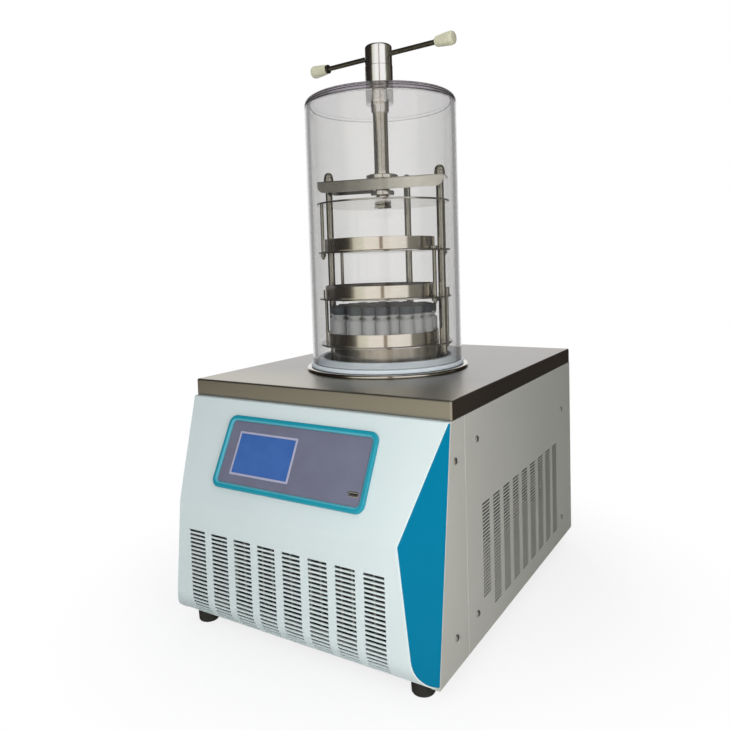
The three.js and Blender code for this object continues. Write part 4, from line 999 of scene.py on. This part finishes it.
def quarter(r, z, radius, step=10):
    """The quarter round that ends a profile, from its side to its top."""
    turns = [math.radians(a) for a in range(0, 91, step)]
    return [(r + radius * math.cos(a), z + radius * math.sin(a)) for a in turns]


tube_acrylic = clear_acrylic("tube_acrylic", (0.91, 0.91, 0.90), (0.30, 0.285, 0.335), 12)
lid_acrylic = clear_acrylic("lid_acrylic", (0.90, 0.89, 0.90), (0.34, 0.29, 0.34), 6)
tube = [(119, 12.6), (119.5, 12.1), (126.5, 12.1), (127, 12.6)]
tube += [(127, 437.3), (126.6, 437.7), (119.4, 437.7), (119, 437.3)]
lid = [(15.4, 438), (126.6, 438), (127, 438.4)] + quarter(115, 440, 12, 9) + [(15.4, 452)]
for name, profile, finish, node in (
    ("acrylic_tube", tube, tube_acrylic, "chamber_tube"),
    ("acrylic_lid", lid, lid_acrylic, "chamber_lid"),
):
    clear_piece = solid(name, round_chamber(profile, 192), 50)
    dressed(clear_piece, finish, "cabinet", "clear_acrylic", node)
    clear_piece.visible_shadow = False


# ---------------------------------------------------------------------------------------------
# Gland and turning head: chromed brass. The gland is screwed through the lid and sealed on it;
# the head turns on the gland and drives the spindle.
chrome = bright_metal("chrome", (0.88, 0.90, 0.92), 0.15, (1, 1, 0.3), 0.02, 60)
gland = [(13.0, 427.4), (13.4, 427), (14.8, 427), (15.0, 427.4), (15.0, 437), (15.0, 452.3)]
gland += [(22.9, 452.3), (23.5, 452.9), (23.5, 503.6), (23.2, 503.9), (20.0, 503.9)]
gland += [(20.0, 462.2), (13.0, 462.2)]
gland_sleeve = solid("gland_sleeve", round_chamber(gland, 96))
dressed(gland_sleeve, chrome, "cabinet", "polished_steel", "gland_body")
head = [(13.0, 464.4), (19.7, 464.4), (19.7, 504.2), (22.8, 504.2), (23.0, 504.4)]
head += quarter(18, 534.2, 5) + [(0, 539.2), (0, 505.2), (13.0, 505.2)]
head_cap = solid("head_cap", round_chamber(head, 96))
dressed(head_cap, chrome, "handle", "polished_steel", "handle_head")


# ---------------------------------------------------------------------------------------------
# Bar and grips: a blackened steel bar through the head, with an ivory plastic grip pressed on
# each end, wider towards its tip. A thin dark ring sits against the left grip: painted shade for
# that grip's shaded inner end.
HANDLE_TURN = math.radians(-5)
BAR_HEIGHT = DECK_TOP + 521.6 * MM
lengthwise = (
    Matrix.Translation((CHAMBER.x, CHAMBER.y, BAR_HEIGHT))
    @ Matrix.Rotation(HANDLE_TURN, 4, "Z")
    @ Matrix.Rotation(math.pi / 2, 4, "Y")
)
dark_steel = bright_metal("dark_steel", (0.13, 0.125, 0.105), 0.42, (1, 1, 1), 0.02, 20)
ivory = moulded("ivory", (0.78, 0.75, 0.55), 0.36, 150, 0.01, 0.03)
bar = turned([(0, -139), (3.6, -139), (4.2, -138), (4.2, 138), (3.6, 139), (0, 139)], 48)
cross_bar = solid("cross_bar", moved(bar, lengthwise))
dressed(cross_bar, dark_steel, "handle", "dark_steel", "tommy_bar")
grip_profile = [(4.5, 112), (7.2, 112), (7.9, 112.7), (8.4, 114.2), (9.5, 122), (10.6, 134)]
grip_profile += [(10.9, 139), (10.4, 141.8), (9.0, 143.5), (6.5, 144), (0, 144)]
grip_profile += [(0, 139.3), (4.5, 139.3)]
for side, word in ((-1, "left"), (1, "right")):
    grip = moved(turned([(r, side * x) for r, x in grip_profile], 64), lengthwise)
    made = solid(f"grip_{word}_ivory", grip, 40)
    dressed(made, ivory, "handle", "ivory_plastic", f"grip_{word}")
# Painted shade: a dark ring that stands for the shade on the left grip's inner end.
shade_ring = [(4.4, -111.7), (7.2, -111.7), (7.6, -111.3), (7.6, -108.6), (7.1, -108.2), (4.4, -108.2)]
grip_ferrule = solid("grip_ferrule", moved(turned(shade_ring, 48), lengthwise))
dressed(grip_ferrule, dark_steel, "handle", "dark_steel")


# ---------------------------------------------------------------------------------------------
# Rack: a polished skirt and ring in the trap's mouth, three columns with dome nuts, and a folded
# stainless beam with a guide collar for the spindle. It stands a little turned in the chamber.
RACK_TURN = math.radians(14)
COLUMN_CIRCLE, HANGER_CIRCLE = 98, 104
REAR_COLUMN = 78.6
COLUMN_ANGLES = {"column_left": 180, "column_right": 0, "column_rear": REAR_COLUMN}
in_rack = Matrix.Translation((CHAMBER.x, CHAMBER.y, DECK_TOP)) @ Matrix.Rotation(RACK_TURN, 4, "Z")


def set_in_rack(shape, radius=0.0, angle=0.0):
    """A shape made about the rack's axis, moved out to a place on a circle round it."""
    a = math.radians(angle)
    place = Matrix.Translation((radius * MM * math.cos(a), radius * MM * math.sin(a), 0))
    return moved(shape, in_rack @ place)


def rack_piece(name, shape, finish, body, *stands_for):
    """A finished piece of the rack or the press, from a shape that is in its place."""
    return dressed(solid(name, shape), finish, body, "polished_steel", *stands_for)


rack_steel = bright_metal("rack_steel", (0.44, 0.43, 0.38), 0.15, (1, 1, 4), 0.04, 60, 0.02)
turned_steel = bright_metal("turned_steel", (0.80, 0.79, 0.75), 0.10, (1, 1, 4), 0.03, 60, 0.02)
skirt_steel = bright_metal("skirt_steel", (0.74, 0.68, 0.59), 0.09, (1, 1, 0.02), 0.36, 28)
# Painted reflection: the beam's colour is dark at its left end and lightens to full at its right
# end.
beam_steel = painted_reflection_along(
    bright_metal("beam_steel", (0.88, 0.865, 0.80), 0.20, (1, 1, 8), 0.05, 60),
    "X",
    -0.105,
    0.105,
    ((0, (0.26,) * 3), (0.42, (0.34,) * 3), (0.56, (0.58,) * 3), (0.85, (1.0,) * 3)),
)
skirt = [(90.0, 2.1), (106.0, 2.1), (106.5, 2.6), (106.5, 5.6), (106.0, 6.1), (92.2, 6.1)]
skirt += [(91.5, 6.8), (91.5, 41.4), (91.2, 41.7), (90.3, 41.7), (90.0, 41.4)]
rack_piece("rack_skirt", set_in_rack(turned(skirt, 128)), skirt_steel, "cabinet", "rack_base")
column = [(0, 6.4), (6.2, 6.4), (6.2, 314.0), (5.7, 314.2), (4.0, 314.2), (4.0, 317.3)]
column += [(7.8, 317.3), (8.8, 317.8), (8.8, 325.0), (8.4, 325.8), (8.0, 326.3)]
column = turned(column + quarter(0, 327.3, 8), 48)
for node, angle in COLUMN_ANGLES.items():
    standing = set_in_rack(column, COLUMN_CIRCLE, angle)
    rack_piece(node + "_rod", standing, rack_steel, "cabinet", node)


def without(thing, *cutters):
    """A mesh object with the solids of others taken away."""
    for cutter in cutters:
        press = thing.modifiers.new("cut", "BOOLEAN")
        press.object = cutter
        press.solver = "EXACT"
    settled(thing)
    for cutter in cutters:
        bpy.data.objects.remove(cutter)
    thing.data.shade_smooth()
    thing.data.set_sharp_from_angle(angle=math.radians(30))
    return thing


def pin(radius, low, high, circle=0.0, angle=0.0, sides=32):
    """A round cutter upright in the rack."""
    profile = [(0, low), (radius, low), (radius, high), (0, high)]
    return solid("pin", set_in_rack(turned(profile, sides), circle, angle))


def beam_fold(x0, x1, y, corner0, corner1):
    """An upright fold of the beam, its lower corners rounded off."""
    low, high = 298, 315.5
    line = [(x0, high)]
    for start, x, corner in ((180, x0 + corner0, corner0), (270, x1 - corner1, corner1)):
        for k in range(9):
            a = math.radians(start + 90 * k / 8)
            line.append((x + corner * math.cos(a), low + corner + corner * math.sin(a)))
    line.append((x1, high))
    rings = [[(x * MM, (y + t) * MM, z * MM) for x, z in line] for t in (0, 2.5)]
    return moved(lofted(rings), in_rack)


def beam_top():
    """The beam's flat top with its two bends."""
    bend = 2.2
    edge = []
    for k in range(6):
        a = math.radians(18 * k)
        edge.append((30 - bend + bend * math.cos(a), 317 - bend + bend * math.sin(a)))
    section = [(-y, z) for y, z in edge] + edge[::-1] + [(30, 314.5), (-30, 314.5)]
    loops = [[(x * MM, y * MM, z * MM) for y, z in section] for x in (-108, 108)]
    return moved(lofted(loops), in_rack)


rear_turn = Matrix.Rotation(math.radians(REAR_COLUMN - 90), 4, "Z")
arm_edges = [(-18, 20), (18, 20), (18, 104), (12, 110), (-12, 110), (-18, 104)]
arm = [
    [tuple(rear_turn @ Vector((x * MM, y * MM, z * MM))) for x, y in arm_edges]
    for z in (314.5, 317)
]
arm_blank = solid("beam_arm", moved(lofted(arm), in_rack))
beam = solid(
    "beam_sheet",
    together(
        beam_top(),
        beam_fold(-108, 108, -30, 12, 12),
        beam_fold(-108, -24, 27.5, 12, 1),
        beam_fold(44, 108, 27.5, 1, 12),
    ),
)
holes = [pin(4.6, 310, 325, COLUMN_CIRCLE, angle, 24) for angle in COLUMN_ANGLES.values()]
without(arm_blank, holes.pop(), pin(17.6, 310, 325))
without(beam, *holes)
dressed(beam, beam_steel, "cabinet", "polished_steel", "rack_beam")
dressed(arm_blank, beam_steel, "cabinet", "polished_steel")
guide = [(13.0, 306), (17.0, 306), (17.0, 317.3), (26.4, 317.3), (27.0, 317.9), (27.0, 323.4)]
guide += [(26.0, 324.3), (13.6, 324.3), (13.0, 323.8)]
rack_piece("guide_collar", set_in_rack(turned(guide)), turned_steel, "cabinet", "spindle_guide")


# ---------------------------------------------------------------------------------------------
# Spindle: a ground stainless rod with a turned pressing foot; a nut under the press plate holds
# the plate on the foot's neck.
THREAD_TURNS, THREAD_PITCH = 68, 2.5
thread = [
    (12.7 - depth, 330 + THREAD_PITCH * turn + rise)
    for turn in range(THREAD_TURNS)
    for depth, rise in ((0, 0), (0, 1.0), (0.35, 1.5), (0.35, 2.0))
]
spindle = [(0, 267.8), (7.6, 267.8), (8, 268.2), (8, 277.9), (14.6, 277.9), (15, 278.4)]
spindle += [(15, 281.8), (13.5, 283.6), (11, 284.6), (11, 288.4), (13, 289.4), (19.4, 290.2)]
spindle += [(20, 290.8), (20, 297.0), (19.2, 297.6), (14.5, 298.4), (12.7, 299.6)]
spindle += thread + [(12.7, 501.2), (12.0, 502.2), (0, 502.2)]
spindle = set_in_rack(turned(spindle, 64))
rack_piece("spindle_rod", spindle, turned_steel, "press", "press_spindle")


def hexagon_nut(low, high, across, bore):
    """A chamfered hexagon nut about the rack's axis."""
    reach = across / math.sqrt(3)
    rising = [(bore, low), (reach * 0.9, low), (reach, low + 0.8)]
    return turned(rising + [(reach, high - 0.8), (reach * 0.9, high), (bore, high)], 6)


nut = set_in_rack(hexagon_nut(268.3, 274.3, 25.5, 8.3))
rack_piece("plate_nut", nut, rack_steel, "press", "press_plate_nut")


# ---------------------------------------------------------------------------------------------
# Press plate and shelves: stainless discs that slide on the columns. Each of the upper three
# carries two hanger rods, and the shelf below rests on the nuts near the rods' pointed ends.
PLATE_BOTTOMS = {"press_plate": 274.6, "shelf_1": 194.6, "shelf_2": 118.3, "shelf_3": 42.0}
STAGE_RODS = {"press_plate": (20, 200), "shelf_1": (-25, 155), "shelf_2": (10, 190)}
HEAD_HEIGHTS = {"press_plate": 0.0, "shelf_1": 4.5, "shelf_2": 12.0}
plate_steel = bright_metal("plate_steel", (0.60, 0.585, 0.545), 0.13, (20, 0.8, 1), 0.04, 40, 0.02)


def disc(low):
    """A plate with eased edges, 3 mm thick."""
    edge = [(111.6, low), (112, low + 0.4), (112, low + 2.6), (111.6, low + 3)]
    return turned([(0, low)] + edge + [(0, low + 3)], 128)


def hanger(low, top, head):
    """A hanger rod with its pointed end below where its nut sits, and its head above the plate."""
    nut_top = low - 0.3
    rod = [(0, nut_top - 9.5), (1.2, nut_top - 9.3), (2.6, nut_top - 7.0), (3, nut_top - 6.0)]
    if head:
        end = top + 3 + head
        rod += [(3, top + 3.0), (4.6, top + 3.0), (5, top + 3.2), (5, top + 2.4 + head), (4.2, end)]
    else:
        rod.append((3, top + 2.9))
    return turned(rod + [(0, rod[-1][1])], 24)


names = list(PLATE_BOTTOMS)
for i, node in enumerate(names):
    low = PLATE_BOTTOMS[node]
    passing = STAGE_RODS.get(names[i - 1], ()) if i else ()
    body = "cabinet" if node == "shelf_3" else "press"
    cuts = [pin(6.7, low - 1, low + 4, COLUMN_CIRCLE, a) for a in COLUMN_ANGLES.values()]
    cuts += [pin(3.4, low - 1, low + 4, HANGER_CIRCLE, a, 24) for a in passing]
    if node == "press_plate":
        cuts.append(pin(8.3, low - 1, low + 4, sides=48))
    plate = without(solid(node + "_disc", set_in_rack(disc(low))), *cuts)
    dressed(plate, plate_steel, body, "polished_steel", node)
    for k, angle in enumerate(STAGE_RODS.get(node, ())):
        below = PLATE_BOTTOMS[names[i + 1]]
        rod = set_in_rack(hanger(below, low, HEAD_HEIGHTS[node]), HANGER_CIRCLE, angle)
        nut = hexagon_nut(below - 4.8, below - 0.3, 9.4, 3.0)
        nut = set_in_rack(nut, HANGER_CIRCLE, angle)
        rack_piece(f"{node}_hanger_{k + 1}", together(rod, nut), rack_steel, "press")


# ---------------------------------------------------------------------------------------------
# Trays: spun stainless dishes, mirror-polished outside, with a rolled rim. Each just stands on
# its shelf, a little towards the front.
TRAY_PLACES = {"tray_1": (-1.5, -22), "tray_2": (-1.5, -22), "tray_3": (1, -21)}
TRAY_RADIUS, TRAY_WALL = 92, 1
DISH = [(0, 0), (91.1, 0), (91.8, 0.4), (92, 1.2), (92, 19.4), (91.8, 19.8)]
DISH += [(91.4, 20), (91, 19.6), (91, 1.6), (90.4, 1.0), (0, 1.0)]
tray_steel = bright_metal("tray_steel", (1.0, 0.955, 0.88), 0.07, (1, 1, 5), 0.03, 60, 0.015)
for i, (node, (x, y)) in enumerate(TRAY_PLACES.items()):
    floor = PLATE_BOTTOMS[f"shelf_{i + 1}"] + 3.3
    dish = turned([(r, floor + z) for r, z in DISH], 128)
    body = "cabinet" if node == "tray_3" else "press"
    standing = moved(dish, in_rack @ Matrix.Translation((x * MM, y * MM, 0)))
    rack_piece(node + "_dish", standing, tray_steel, body, node)


# ---------------------------------------------------------------------------------------------
# Vials: frosted glass with a round shoulder and a short neck, each closed by a dark rubber stopper,
# packed against each other in the lowest tray.
VIAL_RADIUS, VIAL_PITCH = 10.95, 21.98
vial_floor = PLATE_BOTTOMS["shelf_3"] + 3 + 0.3 + 1 + 0.3
glass_wall = [(0, 0), (9.6, 0), (10.6, 0.5), (10.95, 1.6), (10.95, 36.0), (10.6, 38.6)]
glass_wall += [(9.4, 40.4), (7.4, 41.4), (6.6, 42.4), (6.6, 44.6), (9.2, 45.0), (9.4, 45.6)]
glass_wall += [(9.4, 48.4), (6.2, 48.4), (5.4, 47.6), (5.4, 42.0), (9.2, 38.0), (9.9, 35.6)]
glass_wall += [(9.9, 2.4), (9.0, 1.6), (0, 1.6)]
stopper_wall = [(0, 41.5), (5.2, 41.5), (5.2, 48.6), (9.4, 48.6), (9.8, 49.4), (9.8, 59.4)]
stopper_wall += [(9.4, 60.6), (8.4, 61.0), (0, 61.0)]


def vial_places():
    """The middles of the vials' floors, in rows that lie in each other's gaps."""
    room = TRAY_RADIUS - TRAY_WALL - VIAL_RADIUS - 0.4
    left, front = TRAY_PLACES["tray_3"]
    places = []
    for row in range(-4, 5):
        for column in range(-5, 6):
            x = (column + (0.5 if row % 2 else 0)) * VIAL_PITCH
            y = row * VIAL_PITCH * math.sqrt(3) / 2
            if math.hypot(x, y) < room:
                place = Vector(((x + left) * MM, (y + front) * MM, vial_floor * MM))
                places.append(in_rack @ place)
    return places


stopper_rubber = moulded("stopper_rubber", (0.060, 0.072, 0.085), 0.5, 800, 0.1, 0.15)
frosted_glass = clear_acrylic("vial_glass", (0.88, 0.89, 0.88), clear=0.5, roughness=0.12)
vial_shape = solid("vial_shape", turned(glass_wall, 28))
stopper_shape = solid("stopper_shape", turned(stopper_wall, 24))
bottles = spread("vial_bottles", vial_shape, vial_places(), frosted_glass)
dressed(bottles, None, "cabinet", "vial_glass", "vials")
stoppers = spread("vial_stoppers", stopper_shape, vial_places(), stopper_rubber)
dressed(stoppers, None, "cabinet", "black_rubber")
bpy.data.objects.remove(vial_shape)
bpy.data.objects.remove(stopper_shape)


# ---------------------------------------------------------------------------------------------
# Refrigeration behind the grilles: finned condenser, shrouded fan and motor in front, sealed
# compressor at the rear. Seen only as shapes in the dark behind the slots.
kept("condenser", bright_metal("fin_aluminium", (0.45, 0.46, 0.46), 0.4, scale=90))
kept("fan_shroud", black_plastic)
kept("fan_motor", dark_steel)
kept("fan_rotor", bright_metal("rotor_aluminium", (0.55, 0.56, 0.56), 0.35, scale=90))
kept("compressor", powder_coat("compressor_black", (0.012, 0.012, 0.013), 0.35, 0.2))


# ---------------------------------------------------------------------------------------------
# Rear fittings: air inlet valve with its knob, drain cock with its lever, and the mains inlet with
# its rocker switch above it.
valve_metal = bright_metal("valve_metal", (0.62, 0.62, 0.60), 0.3, scale=150)
for node in ("vent_valve", "drain_valve"):
    kept(node, valve_metal)
for node in ("vent_knob", "drain_lever", "power_inlet", "switch_housing", "switch_rocker"):
    kept(node, black_plastic)
